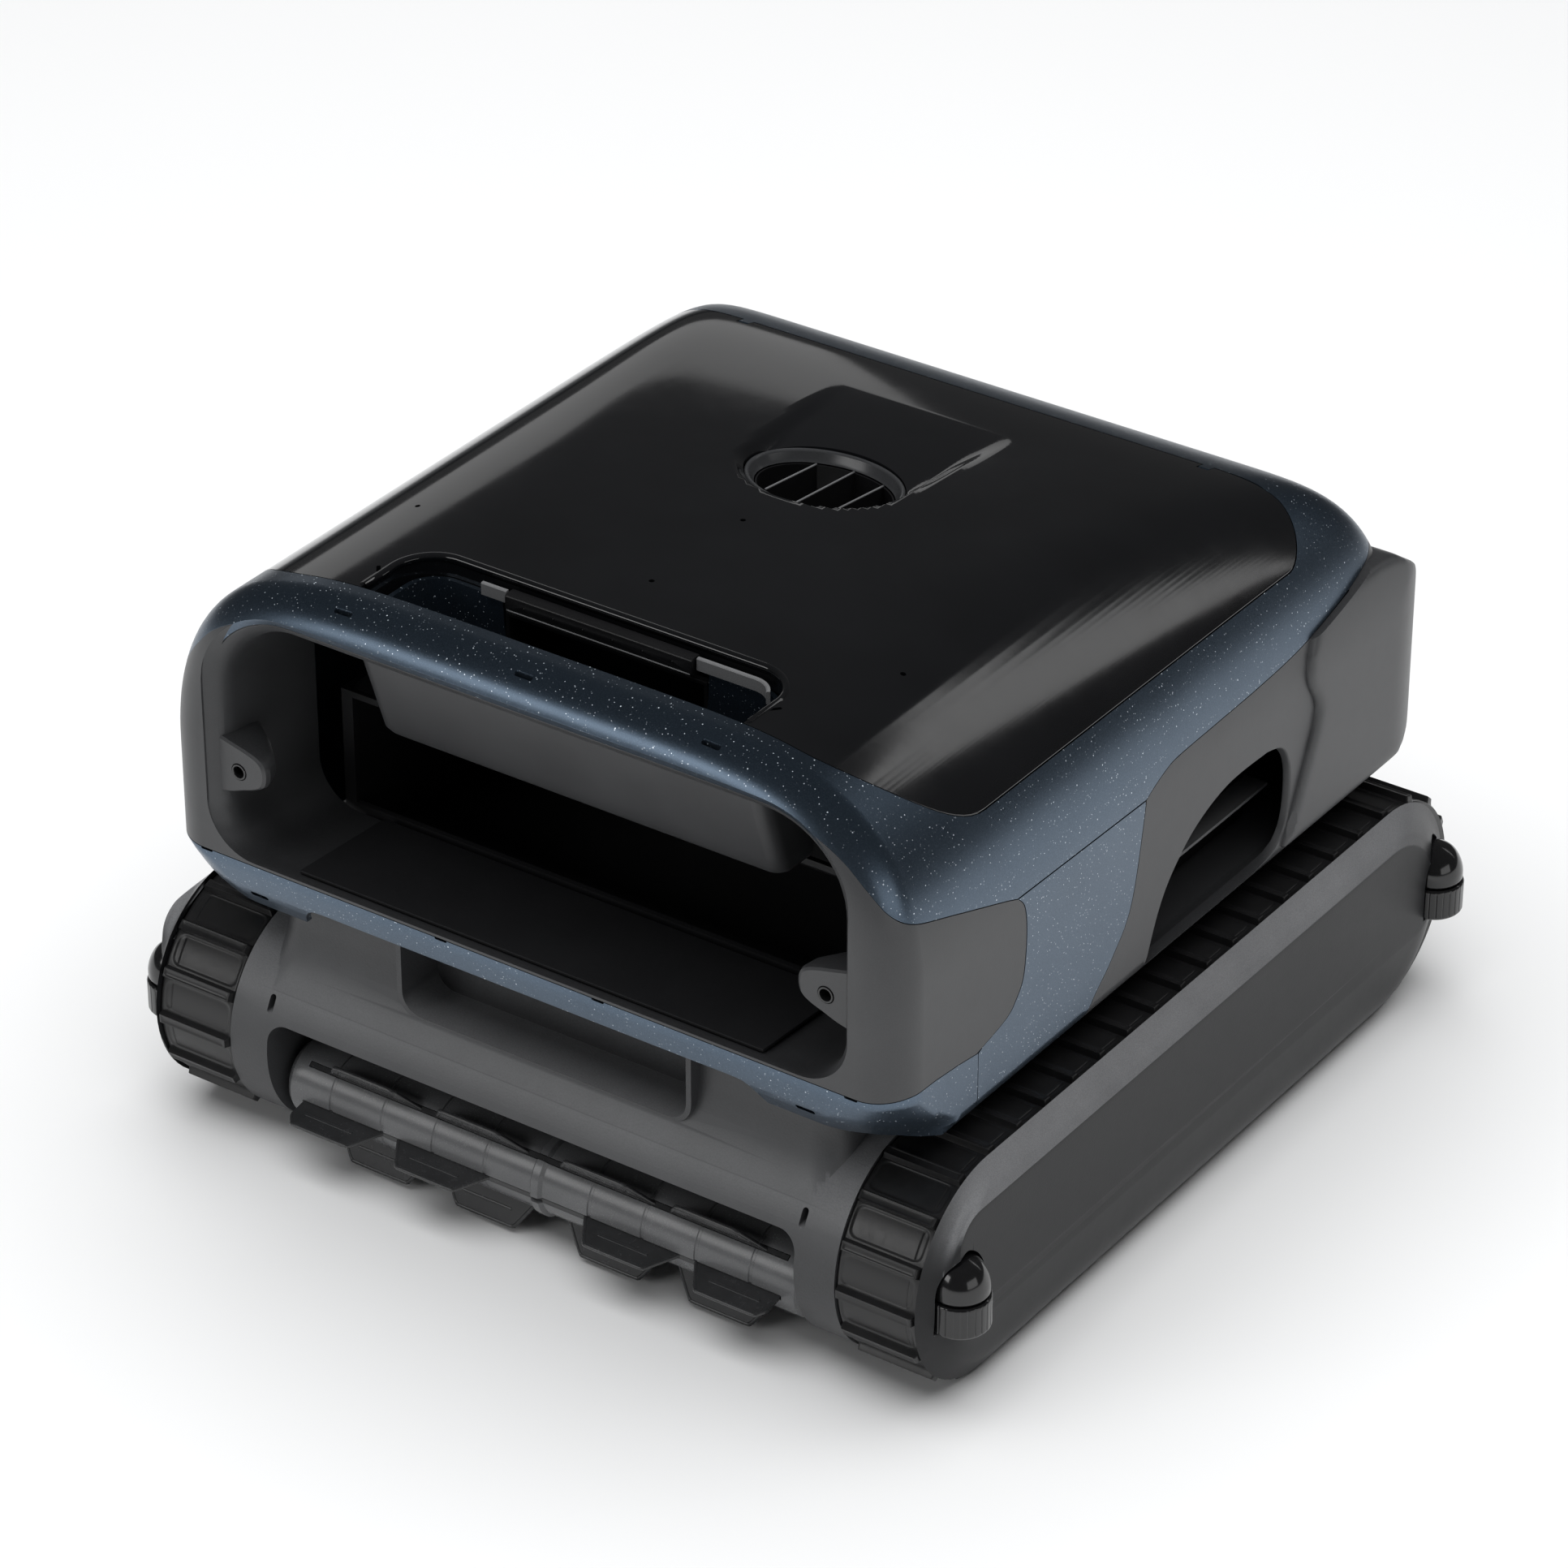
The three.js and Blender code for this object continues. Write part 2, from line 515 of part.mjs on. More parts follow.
const frameClear = prism(
  shiftEdge(FRAME_EDGE.slice(10), 0, -GAP / 2).concat([[190, 320], [-30, 320]]), 'x', -300, 300)
  .intersect(box(-300, 300, -40, 180.2, 100, 400));
hull = hull.add(tray).subtract(frameClear);
add('rear_hull', hull, 'grey', { rough: 0.45 });
for (const [side, s] of [['l', -1], ['r', 1]]) {
  add(`window_slat_${side}`, box(s > 0 ? 158.4 : -170, s > 0 ? 170 : -158.4, -40, 106, 139.5, 141), 'ash', { rough: 0.3 });
}

// ---- inside the body -----------------------------------------------------------------------
const basket = box(-146, 146, -149, -44, 122, 206)
  .subtract(box(-143.4, 143.4, -146.4, -46.6, 124.6, 220))
  .subtract(box(-140, 140, -160, -140, 150, 203));
add('debris_basket', basket, 'dark');
const core = box(-158, 158, -40, 106, 120, 236)
  .subtract(rod('z', [0, VENT.y, 0], 34, 170, 250, 28));
add('core_housing', core, 'soot', { rough: 0.5 });
add('battery_pack', box(-120, 120, 110, 176, 122, 190), 'cell');
add('pump_motor', rod('z', [0, VENT.y, 0], 24, 170.3, 222, 24)
  .add(rod('z', [0, VENT.y, 0], 3, 221, 246, 16)), 'metal', { rough: 0.35, metal: 1 });
const impeller = (() => {
  let s = tube('z', [0, VENT.y, 0], 9, 3.06, 226, 244, 24);
  for (let k = 0; k < 4; k += 1) {
    const blade = new THREE.BoxGeometry(23, 2, 12);
    blade.rotateX(0.6);
    blade.translate(18.5, 0, 235);
    blade.rotateZ(k * Math.PI / 2);
    blade.translate(0, VENT.y, 0);
    s = s.add(solid(blade));
  }
  return s;
})();
add('impeller', impeller, 'ash');

// ---- chassis ---------------------------------------------------------------------------------
const chassisProfile = [];
for (let k = 0; k <= 14; k += 1) {
  const a = THREE.MathUtils.degToRad(238 - k * 8.4);
  chassisProfile.push([FRONT_WHEEL_Y + CHASSIS_R * Math.cos(a), WHEEL_Z + CHASSIS_R * Math.sin(a)]);
}
chassisProfile.push([-196, 101], [-194, 106], [-193, 113], [-193, CHASSIS_TOP_Z], [205, CHASSIS_TOP_Z],
  [214, 100], [214, 40], [205, 24], [190, 15], [-148, 15]);
let chassis = prism(chassisProfile.slice().reverse(), 'x', -CHASSIS_HALF_W, CHASSIS_HALF_W)
  .add(box(-150, 150, -193, -164, 110, 136.6))
  .subtract(rod('x', [0, BRUSH_Y, BRUSH_Z], BRUSH_BAY_R, -140, 140, 28))
  .subtract(prism([[-240, -20], [-240, 71], [-206, 71], [-196, 60], [-160, 40], [-157, -20]], 'x', -140, 140))
  .subtract(box(-75, 75, -240, -176, 95, 131))
  .subtract(box(-150, 150, -146, 196, 18, 109))
  .subtract(box(-150, 150, -140, 190, 0, 30));
for (const s of [-1, 1]) {
  chassis = chassis.subtract(prism(
    roundRect(s * 141 - 0.9, s * 141 + 0.9, 74, 82, [0.8, 0.8, 0.8, 0.8], 2), 'y', -230, -204));
}
const AXLE_R = 6;
for (const y of [FRONT_WHEEL_Y, REAR_WHEEL_Y]) {
  chassis = chassis.subtract(rod('x', [0, y, WHEEL_Z], AXLE_R + 0.3, 142, 180, 20))
    .subtract(rod('x', [0, y, WHEEL_Z], AXLE_R + 0.3, -180, -142, 20));
}
chassis = chassis.subtract(rod('x', [0, BRUSH_Y, BRUSH_Z], 5.3, -152, 152, 20));
add('chassis', chassis, 'grey', { rough: 0.55 });
add('bottom_plate', box(-149.6, 149.6, -139.6, 189.6, 15, 17.8), 'dark');
for (const [side, s] of [['l', -1], ['r', 1]]) {
  add(`drive_motor_${side}`, rod('x', [0, REAR_WHEEL_Y - 6, WHEEL_Z], 21,
    Math.min(s * 62, s * 140), Math.max(s * 62, s * 140), 24), 'metal', { rough: 0.35, metal: 1 });
}
add('control_box', box(-90, 90, -60, 60, 24, 66), 'dark');

// ---- tracks ------------------------------------------------------------------------------------
const TRACK_L = REAR_WHEEL_Y - FRONT_WHEEL_Y;
const TRACK_PATH_R = BELT_R;
const TRACK_LEN = 2 * TRACK_L + 2 * Math.PI * TRACK_PATH_R;

// Point and outward normal at a distance along the track loop, starting at the top front.
function onTrack(d, r) {
  const s = ((d % TRACK_LEN) + TRACK_LEN) % TRACK_LEN;
  const arc = Math.PI * TRACK_PATH_R;
  if (s < TRACK_L) {
    return { y: FRONT_WHEEL_Y + s, z: WHEEL_Z + r, ny: 0, nz: 1 };
  }
  if (s < TRACK_L + arc) {
    const a = (s - TRACK_L) / TRACK_PATH_R;
    return { y: REAR_WHEEL_Y + r * Math.sin(a), z: WHEEL_Z + r * Math.cos(a), ny: Math.sin(a), nz: Math.cos(a) };
  }
  if (s < 2 * TRACK_L + arc) {
    return { y: REAR_WHEEL_Y - (s - TRACK_L - arc), z: WHEEL_Z - r, ny: 0, nz: -1 };
  }
  const a = (s - 2 * TRACK_L - arc) / TRACK_PATH_R;
  return { y: FRONT_WHEEL_Y - r * Math.sin(a), z: WHEEL_Z - r * Math.cos(a), ny: -Math.sin(a), nz: -Math.cos(a) };
}

function trackOutline() {
  const pitch = TRACK_LEN / TREAD_COUNT;
  const out = [];
  for (let k = 0; k < TREAD_COUNT; k += 1) {
    const d = (k + 0.12) * pitch;
    for (const [dd, r] of [[0, BELT_R], [1.1, TREAD_R], [4.4, TREAD_R], [5.5, BELT_R]]) {
      const p = onTrack(d + dd, r);
      out.push([p.y, p.z]);
    }
    const mid = onTrack(d + 13, BELT_R);
    if (Math.abs(mid.nz) < 0.999) {
      out.push([mid.y, mid.z]);
    }
  }
  return out;
}

function stadium(y0, y1, z, r, steps) {
  const out = [];
  for (let k = 0; k <= steps; k += 1) {
    const a = Math.PI / 2 + (k / steps) * Math.PI;
    out.push([y0 + r * Math.cos(a), z + r * Math.sin(a)]);
  }
  for (let k = 0; k <= steps; k += 1) {
    const a = -Math.PI / 2 + (k / steps) * Math.PI;
    out.push([y1 + r * Math.cos(a), z + r * Math.sin(a)]);
  }
  return out;
}

const treads = trackOutline().reverse();
for (const [side, s] of [['l', -1], ['r', 1]]) {
  const x0 = s > 0 ? BELT_X0 : -BELT_X1;
  const x1 = s > 0 ? BELT_X1 : -BELT_X0;
  const belt = prism(treads, 'x', x0, x1)
    .subtract(prism(stadium(FRONT_WHEEL_Y, REAR_WHEEL_Y, WHEEL_Z, BELT_IN_R, 16), 'x', -300, 300));
  add(`track_${side}`, belt, 'rubber', { rough: 0.45 });
  const wx = s > 0 ? [166, 192.6] : [-192.6, -166];
  for (const [name, y] of [['idler_wheel', FRONT_WHEEL_Y], ['drive_wheel', REAR_WHEEL_Y]]) {
    let wheel = rod('x', [0, y, WHEEL_Z], WHEEL_R, wx[0], wx[1], 24);
    wheel = wheel.subtract(tube('x', [0, y, WHEEL_Z], 38, 16, s > 0 ? 186 : -210, s > 0 ? 210 : -186, 14));
    wheel = wheel.subtract(rod('x', [0, y, WHEEL_Z], AXLE_R + 0.08, -300, 300, 20));
    add(`${name}_${side}`, wheel, 'dark');
  }
  const ax = s > 0 ? [143, 200] : [-200, -143];
  add(`front_axle_${side}`, rod('x', [0, FRONT_WHEEL_Y, WHEEL_Z], AXLE_R, ax[0], ax[1], 20), 'metal', { metal: 1 });
  add(`rear_axle_${side}`, rod('x', [0, REAR_WHEEL_Y, WHEEL_Z], AXLE_R, ax[0], ax[1], 20), 'metal', { metal: 1 });
}

// ---- side covers and guide rollers ----------------------------------------------------------------
// Side cover outlines from the belt outwards: x, front, rear, bottom, top, corner radii.
const COVER_OUT = [
  [201.4, -219.1, 214.4, 2.4, 107.6, [52.6, 52.6, 52.6, 52.6]],
  [203.4, -214.6, 208.6, 5.4, 105.2, [49.9, 49.9, 48, 48]],
  [206, -209.4, 202.4, 9.4, 102.2, [46, 46, 44, 40]],
  [208.5, -205.6, 197, 14, 99.3, [41, 41, 42, 29]],
  [210, -203.4, 193.4, 22, 97.4, [33, 33, 41, 21]],
  [211.4, -201, 190, 38.5, 95.6, [14, 14, 40, 15]],
];
const COVER_IN = [
  [199, -216, 211.2, 5.6, 104.6, [49.4, 49.4, 49.4, 49.4]],
  [201.5, -216, 211.2, 5.6, 104.6, [49.4, 49.4, 49.4, 49.4]],
  [203.7, -209.8, 203, 11.4, 100.8, [43.6, 43.6, 43, 39]],
  [206.3, -204.6, 196, 18.5, 97, [36, 36, 40, 27]],
  [208.8, -199, 188.4, 37.6, 93.2, [13, 13, 38, 14]],
];
const ROLLER_POCKET = [[0, 59], [ROLLER_R + 1, 59], [ROLLER_R + 1, 64.5], [11.6, 71.5], [6.4, 78], [0, 82.4]];
const coverRings = (table) => table.map(([x, y0, y1, z0, z1, radii]) => (
  roundRect(y0, y1, z0, z1, radii, 6).map((p) => [x, p[0], p[1]])));
for (const [side, s] of [['l', -1], ['r', 1]]) {
  const place = (list) => loft(list.map((ring) => ring.map((p) => [s * p[0], p[1], p[2]])));
  const full = place(coverRings(COVER_OUT));
  let cover = full.subtract(place(coverRings(COVER_IN)));
  for (const y of [-ROLLER_Y, ROLLER_Y]) {
    // boss behind each roller, then the pocket that holds it
    const c = [s * ROLLER_X, y, 0];
    cover = cover.add(box(s > 0 ? COVER_IN_X : -212, s > 0 ? 212 : -COVER_IN_X,
      y < 0 ? -218 : 176, y < 0 ? -176 : 214, 36, 86).intersect(full));
    cover = cover.subtract(rod('z', c, ROLLER_R + 1, 43.4, 59.4, 20));
    cover = cover.subtract(turned(ROLLER_POCKET, 'z', c, 20));
  }
  add(`side_cover_${side}`, mainBody(cover), 'cover', { rough: 0.45 });
  for (const [end, y] of [['front', -ROLLER_Y], ['rear', ROLLER_Y]]) {
    const c = [s * ROLLER_X, y, 0];
    add(`roller_cap_${end}_${side}`, turned(
      [[0, 43.7], [3, 43.7], [3, 59.9], [12.2, 59.9], [12.9, 62], [12, 67.5], [8.6, 73.6], [4, 76.6], [0, 77.4]],
      'z', c, 16), 'soot', { rough: 0.2 });
    add(`guide_roller_${end}_${side}`, turned(
      [[3.08, 44], [ROLLER_R - 0.8, 44], [ROLLER_R, 45.2], [ROLLER_R, 58.3], [ROLLER_R - 0.8, 59.4], [3.08, 59.4],
        [3.08, 44]], 'z', c, 20), 'rubber', { rough: 0.3 });
  }
}

// ---- roller brush --------------------------------------------------------------------------------
const ROWS = 6;
const bx = BRUSH_HALF_L;
const STRIP_R = BRUSH_CORE_R - 1;

// Turn a solid built along X round the brush axis and move it there.
function onBrush(part, k) {
  const m = part.getMesh();
  const g = new THREE.BufferGeometry();
  g.setAttribute('position', new THREE.BufferAttribute(new Float32Array(m.vertProperties), 3));
  g.setIndex(new THREE.BufferAttribute(new Uint32Array(m.triVerts), 1));
  g.rotateX(THREE.MathUtils.degToRad(-20 + k * 360 / ROWS));
  g.translate(0, BRUSH_Y, BRUSH_Z);
  return solid(g);
}

let brushCore = turned([[0, -bx], [16.2, -bx], [BRUSH_CORE_R, -bx + 3], [BRUSH_CORE_R, -3], [BRUSH_CORE_R + 1.6, -1.8],
  [BRUSH_CORE_R + 1.6, 1.8], [BRUSH_CORE_R, 3], [BRUSH_CORE_R, bx - 3], [16.2, bx], [0, bx]], 'x', [0, BRUSH_Y, BRUSH_Z], 20);
brushCore = brushCore.add(rod('x', [0, BRUSH_Y, BRUSH_Z], 5.2, -150, 150, 20));
for (let k = 0; k < ROWS; k += 1) {
  brushCore = brushCore.subtract(onBrush(box(-bx + 9.6, bx - 9.6, -1.4, 1.4, STRIP_R - 3, STRIP_R + 9), k));
}
add('brush_core', brushCore, 'ash', { rough: 0.35 });

// One rubber strip with two mirrored pairs of paddles, seated in a groove of the core.
for (let k = 0; k < ROWS; k += 1) {
  const shift = k % 2 === 0 ? 17 : 0;
  let row = box(-bx + 10, bx - 10, -1.1, 1.1, STRIP_R - 2.6, STRIP_R + 1);
  for (const s of [-1, 1]) {
    for (const x0 of [19 + shift, 77 + shift]) {
      const outline = [[x0 - 11, STRIP_R], [x0, BRUSH_TIP_R], [x0 + 29, BRUSH_TIP_R], [x0 + 40, STRIP_R]]
        .map((p) => [s * p[0], p[1]]);
      const blade = prism(s > 0 ? outline : outline.slice().reverse(), 'y', -1.1, 1.1)
        .intersect(box(s > 0 ? 5 : -bx + 10, s > 0 ? bx - 10 : -5, -5, 5, 0, 60));
      row = row.add(blade);
    }
  }
  add(`paddle_row_${k + 1}`, onBrush(row, k), 'rubber', { rough: 0.4 });
}

export default group;
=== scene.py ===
# Looks of the cordless robotic pool cleaner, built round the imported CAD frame.
import math
from contextlib import contextmanager
import bpy
import bmesh
import numpy as np
from mathutils import Matrix, Vector


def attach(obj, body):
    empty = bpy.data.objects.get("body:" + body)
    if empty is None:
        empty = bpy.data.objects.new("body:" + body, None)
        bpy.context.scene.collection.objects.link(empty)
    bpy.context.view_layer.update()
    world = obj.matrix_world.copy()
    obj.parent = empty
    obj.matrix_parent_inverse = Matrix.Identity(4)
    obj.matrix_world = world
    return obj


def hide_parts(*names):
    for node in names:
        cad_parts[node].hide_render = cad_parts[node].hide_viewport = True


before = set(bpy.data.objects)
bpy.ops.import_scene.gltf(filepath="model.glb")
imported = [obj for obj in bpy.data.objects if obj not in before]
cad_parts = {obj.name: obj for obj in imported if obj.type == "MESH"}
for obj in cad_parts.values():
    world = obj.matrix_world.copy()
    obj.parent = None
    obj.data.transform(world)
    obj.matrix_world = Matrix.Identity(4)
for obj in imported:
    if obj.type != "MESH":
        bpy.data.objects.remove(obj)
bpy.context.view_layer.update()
MM = 0.001
SIDES = (("l", -1), ("r", 1))


# ------ mesh helpers (all in mm)
def add(name, data):
    ob = bpy.data.objects.new(name, data)
    bpy.context.scene.collection.objects.link(ob)
    return ob


@contextmanager
def edited(me):
    bm = bmesh.new()
    bm.from_mesh(me)
    yield bm
    bm.to_mesh(me)
    bm.free()


def make(verts, faces, smooth=True):
    """Object with its faces turned outwards."""
    me = bpy.data.meshes.new("tool")
    me.from_pydata([(x * MM, y * MM, z * MM) for x, y, z in verts], [], faces)
    with edited(me) as bm:
        bmesh.ops.recalc_face_normals(bm, faces=bm.faces)
    me.polygons.foreach_set("use_smooth", [smooth] * len(me.polygons))
    me.update()
    return add("tool", me)


def prism(points, axis, a0, a1):
    """Outline pushed along an axis from a0 to a1."""
    n = len(points)
    place = {"x": lambda p, a: (a, p[0], p[1]), "y": lambda p, a: (p[0], a, p[1]),
        "z": lambda p, a: (p[0], p[1], a)}[axis]
    verts = [place(p, a) for a in (a0, a1) for p in points]
    faces = [tuple(range(n)), tuple(range(n, 2 * n))]
    faces += [(i, (i + 1) % n, n + (i + 1) % n, n + i) for i in range(n)]
    return make(verts, faces, False)


def box(x0, x1, y0, y1, z0, z1):
    return prism([(x0, y0), (x1, y0), (x1, y1), (x0, y1)], "z", z0, z1)


def loft(rings, closed=False):
    """Skin over rings with equally many points; closed joins the last ring to the first."""
    n = len(rings[0])
    verts = [p for ring in rings for p in ring]
    faces = []
    for i in range(len(rings) if closed else len(rings) - 1):
        a, b = i * n, ((i + 1) % len(rings)) * n
        faces += [(a + j, a + (j + 1) % n, b + (j + 1) % n, b + j) for j in range(n)]
    if not closed:
        faces += [tuple(range(n)), tuple(range((len(rings) - 1) * n, len(rings) * n))]
    return make(verts, faces)


def turned(profile, axis, c, segments=64, smooth=True):
    """Body turned round an axis through c; the profile is (radius, along) and starts and ends on the axis."""
    verts, faces, index = [], [], []
    for r, a in profile:
        if r < 1e-6:
            index.append([len(verts)] * segments)
            verts.append((0, 0, a))
        else:
            index.append(list(range(len(verts), len(verts) + segments)))
            for k in range(segments):
                t = 2 * math.pi * k / segments
                verts.append((r * math.cos(t), r * math.sin(t), a))
    for i in range(len(profile) - 1):
        for k in range(segments):
            m = (k + 1) % segments
            face = tuple(dict.fromkeys([index[i][k], index[i][m], index[i + 1][m], index[i + 1][k]]))
            if len(face) > 2:
                faces.append(face)
    order = {"x": (2, 0, 1), "y": (0, 2, 1), "z": (0, 1, 2)}[axis]
    ob = make([tuple(v[i] + shift_by for i, shift_by in zip(order, c)) for v in verts], faces, smooth)
    with edited(ob.data) as bm:
        bmesh.ops.remove_doubles(bm, verts=bm.verts, dist=1e-7)
        bmesh.ops.recalc_face_normals(bm, faces=bm.faces)
    return ob


def rod(axis, c, r, a0, a1, segments=48):
    return turned([(0, a0), (r, a0), (r, a1), (0, a1)], axis, c, segments, False)


def sweep(path, radius, segments=10):
    """Round bead along a 3-D path."""
    pts = [Vector(p) for p in path]
    rings = []
    for i, p in enumerate(pts):
        t = (pts[min(i + 1, len(pts) - 1)] - pts[max(i - 1, 0)]).normalized()
        side = Vector((0, 1, 0)) if abs(t.y) < 1e-6 else t.cross(Vector((0, 0, 1))).normalized()
        up = side.cross(t).normalized()
        turn = [2 * math.pi * k / segments for k in range(segments)]
        rings.append([tuple(p + side * (radius * math.cos(q)) + up * (radius * math.sin(q))) for q in turn])
    return loft(rings)


def level(outline, z):
    return [(x, y, z) for x, y in outline]


def round_rect(x0, x1, y0, y1, radii, steps=10):
    """Rectangle whose four corners, from low x and y round, have their own radii."""
    r0, r1, r2, r3 = radii
    corners = [(x0 + r0, y0 + r0, r0), (x1 - r1, y0 + r1, r1), (x1 - r2, y1 - r2, r2), (x0 + r3, y1 - r3, r3)]
    out = []
    for (cx, cy, r), start in zip(corners, (math.pi, 1.5 * math.pi, 0.0, 0.5 * math.pi)):
        for k in range(steps + 1):
            t = start + k / steps * math.pi / 2
            out.append((cx + r * math.cos(t), cy + r * math.sin(t)))
    return out


def ellipse(cx, cy, rx, ry, n=96):
    turn = [2 * math.pi * k / n for k in range(n)]
    return [(cx + rx * math.cos(t), cy + ry * math.sin(t)) for t in turn]


def between(before, start, end, after, t):
    """Point of a Catmull-Rom curve on the stretch from start to end."""
    return tuple(0.5 * (2 * q + (r - p) * t + (2 * p - 5 * q + 4 * r - w) * t * t
        + (3 * q - p - 3 * r + w) * t ** 3)
        for p, q, r, w in zip(before, start, end, after))


def spline(points, steps=8):
    out = []
    last = len(points) - 1
    for i in range(last):
        near = (points[max(0, i - 1)], points[i], points[i + 1], points[min(last, i + 2)])
        out += [between(*near, k / steps) for k in range(steps)]
    return out + [tuple(points[-1])]


def shift(points, dy, dz):
    return [(p[0] + dy, p[1] + dz) for p in points]


def mirrored(right):
    """Whole outline from its right half, which may start on the middle line."""
    return [(-x, z) for x, z in reversed(right) if x] + right


def settle(ob):
    """Applies the modifiers of an object."""
    depsgraph = bpy.context.evaluated_depsgraph_get()
    me = bpy.data.meshes.new_from_object(ob.evaluated_get(depsgraph))
    ob.modifiers.clear()
    ob.data = me
    return ob


def drop(ob):
    bpy.data.objects.remove(ob, do_unlink=True)


def boolean(a, op, tools, keep=False):
    for tool in tools:
        m = a.modifiers.new("boolean", "BOOLEAN")
        m.operation = op
        m.object = tool
        m.solver = "MANIFOLD"
        settle(a)
        if not keep:
            drop(tool)
    return a


def cut(a, *tools, keep=False):
    return boolean(a, "DIFFERENCE", tools, keep)


def fuse(a, *tools):
    return boolean(a, "UNION", tools)


def common(a, *tools, keep=False):
    return boolean(a, "INTERSECT", tools, keep)


def copy(ob):
    return add("copy", ob.data.copy())


def mirror_copy(ob):
    new = copy(ob)
    new.data.transform(Matrix.Scale(-1, 4, (1, 0, 0)))
    new.data.flip_normals()
    return new


def main_part(ob):
    """Keeps the connected piece with the most faces."""
    with edited(ob.data) as bm:
        left = set(bm.faces)
        groups = []
        while left:
            seed = left.pop()
            group, stack = [seed], [seed]
            while stack:
                for edge in stack.pop().edges:
                    for face in edge.link_faces:
                        if face in left:
                            left.discard(face)
                            group.append(face)
                            stack.append(face)
            groups.append(group)
        groups.sort(key=len, reverse=True)
        for group in groups[1:]:
            bmesh.ops.delete(bm, geom=group, context="FACES")
    return ob


def shade(ob, angle=40):
    """Smooth shading with edges sharper than the angle kept sharp."""
    me = ob.data
    me.polygons.foreach_set("use_smooth", [True] * len(me.polygons))
    with edited(me) as bm:
        for e in bm.edges:
            e.smooth = len(e.link_faces) == 2 and e.calc_face_angle(0) < math.radians(angle)
    m = ob.modifiers.new("normals", "WEIGHTED_NORMAL")
    m.keep_sharp = True
    m.weight = 80
    return settle(ob)


def soften(ob, width, segments=2, angle=35, smooth_angle=40):
    """Rounds the sharp edges and shades the rest smoothly."""
    m = ob.modifiers.new("bevel", "BEVEL")
    m.width = width * MM
    m.segments = segments
    m.limit_method = "ANGLE"
    m.angle_limit = math.radians(angle)
    m.use_clamp_overlap = True
    m.harden_normals = False
    settle(ob)
    return shade(ob, smooth_angle)


# ------ body skin
# Half width, height of the widest line, rise of the crown above it, underside.
HALF_W, MID_Z, RISE, BOTTOM_Z = 190.0, 200.0, 92.3, 116.0
# Powers of the rounding across the body and of its blend with the tail.
SIDE_P, BLEND_P = 5.73, 3.5
FRONT_Y, FILLET, REAR_Y = -217.5, 20.0, 186.0
# Behind the crown the roof falls slowly, and then fast towards the rear.
CROWN_Y, FALL, TAIL_L, TAIL_P = -119.0, 4.03e-6, 322.0, 9.5
WALL, GAP = 3.2, 0.45
FAR = 400


def tail(y):
    s = np.maximum(0.0, y - CROWN_Y)
    return FALL * s * s + (s / TAIL_L) ** TAIL_P


def field(x, y, z):
    """0 on the skin, negative inside it."""
    u = (np.abs(x) / HALF_W) ** SIDE_P
    w = np.maximum(0.0, (z - MID_Z) / RISE)
    return w * w + (u ** BLEND_P + tail(y) ** BLEND_P) ** (1 / BLEND_P) - 1


def field_normal(x, y, z):
    e = 0.02
    n = np.stack([field(x + e, y, z) - field(x - e, y, z), field(x, y + e, z) - field(x, y - e, z),
        field(x, y, z + e) - field(x, y, z - e)], axis=-1)
    return n / np.maximum(1e-12, np.linalg.norm(n, axis=-1, keepdims=True))


def roof_z(x, y):
    u = (np.abs(x) / HALF_W) ** SIDE_P
    v = tail(np.asarray(y, dtype=float))
    return MID_Z + RISE * np.sqrt(np.maximum(0, 1 - (u ** BLEND_P + v ** BLEND_P) ** (1 / BLEND_P)))


def skin_section(y, off, round_in):
    """Right half of the section at y, moved inwards by off, and sideways by round_in as well."""
    half = HALF_W * (1 - float(tail(np.array(y))) ** BLEND_P) ** (1 / (BLEND_P * SIDE_P))
    # across: closely spaced round the shoulder, then evenly to the middle
    flat = 0.55
    shoulder = np.cos(np.linspace(0, 1, 31)[1:] * math.acos(flat ** (SIDE_P / 2))) ** (2 / SIDE_P)
    x = half * np.array(list(shoulder) + list(np.linspace(flat, 0, 35)[1:]))
    z = roof_z(x, y)
    n = field_normal(x, np.full_like(x, y), z)
    push = off + round_in
    side_n = field_normal(np.array([half]), np.array([float(y)]), np.array([MID_Z - 10.0]))[0]
    sx, sy = half - push * side_n[0], y - off * side_n[1]
    low = BOTTOM_Z + off
    foot = [(10, 0), (6.5, 0.9), (3, 3), (0.8, 6.4), (0, 10)]
    out = [(0, y, low)] + [(sx - dx, sy, low + dz) for dx, dz in foot]
    out += [(sx, sy, 150), (sx, sy, 175), (sx, sy, MID_Z - 4)]
    for i in range(len(x)):
        across = x[i] - push * n[i][0] if i < len(x) - 1 else 0
        out.append((across, y - off * n[i][1], z[i] - push * n[i][2]))
    return out


def skin(off):
    """Closed body under the skin, moved inwards by off."""
    rings = []
    r = FILLET - off
    for a in np.linspace(90, 0, 14):
        t = math.radians(a)
        rings.append(skin_section(FRONT_Y + FILLET - r * math.sin(t), off, r - r * math.cos(t)))
    ys = list(np.arange(-190, -45, 7.5)) + list(np.arange(-44, 100, 3.0)) + list(np.arange(101, 150, 4.0))
    ys += list(np.arange(152, 185.5, 2.5)) + [REAR_Y - 1e-3]
    rings += [skin_section(float(y), off, 0) for y in ys]
    ob = loft([half + [(-x, y, z) for x, y, z in half[-2:0:-1]] for half in rings])
    if off > 0:
        common(ob, box(-FAR, FAR, -FAR, REAR_Y - off, -100, FAR))
    return ob


def read(items, key, width, kind=float):
    """One property of all the items of a mesh, as an array."""
    out = np.empty(len(items) * width, dtype=kind)
    items.foreach_get(key, out)
    return out.reshape(-1, width) if width > 1 else out


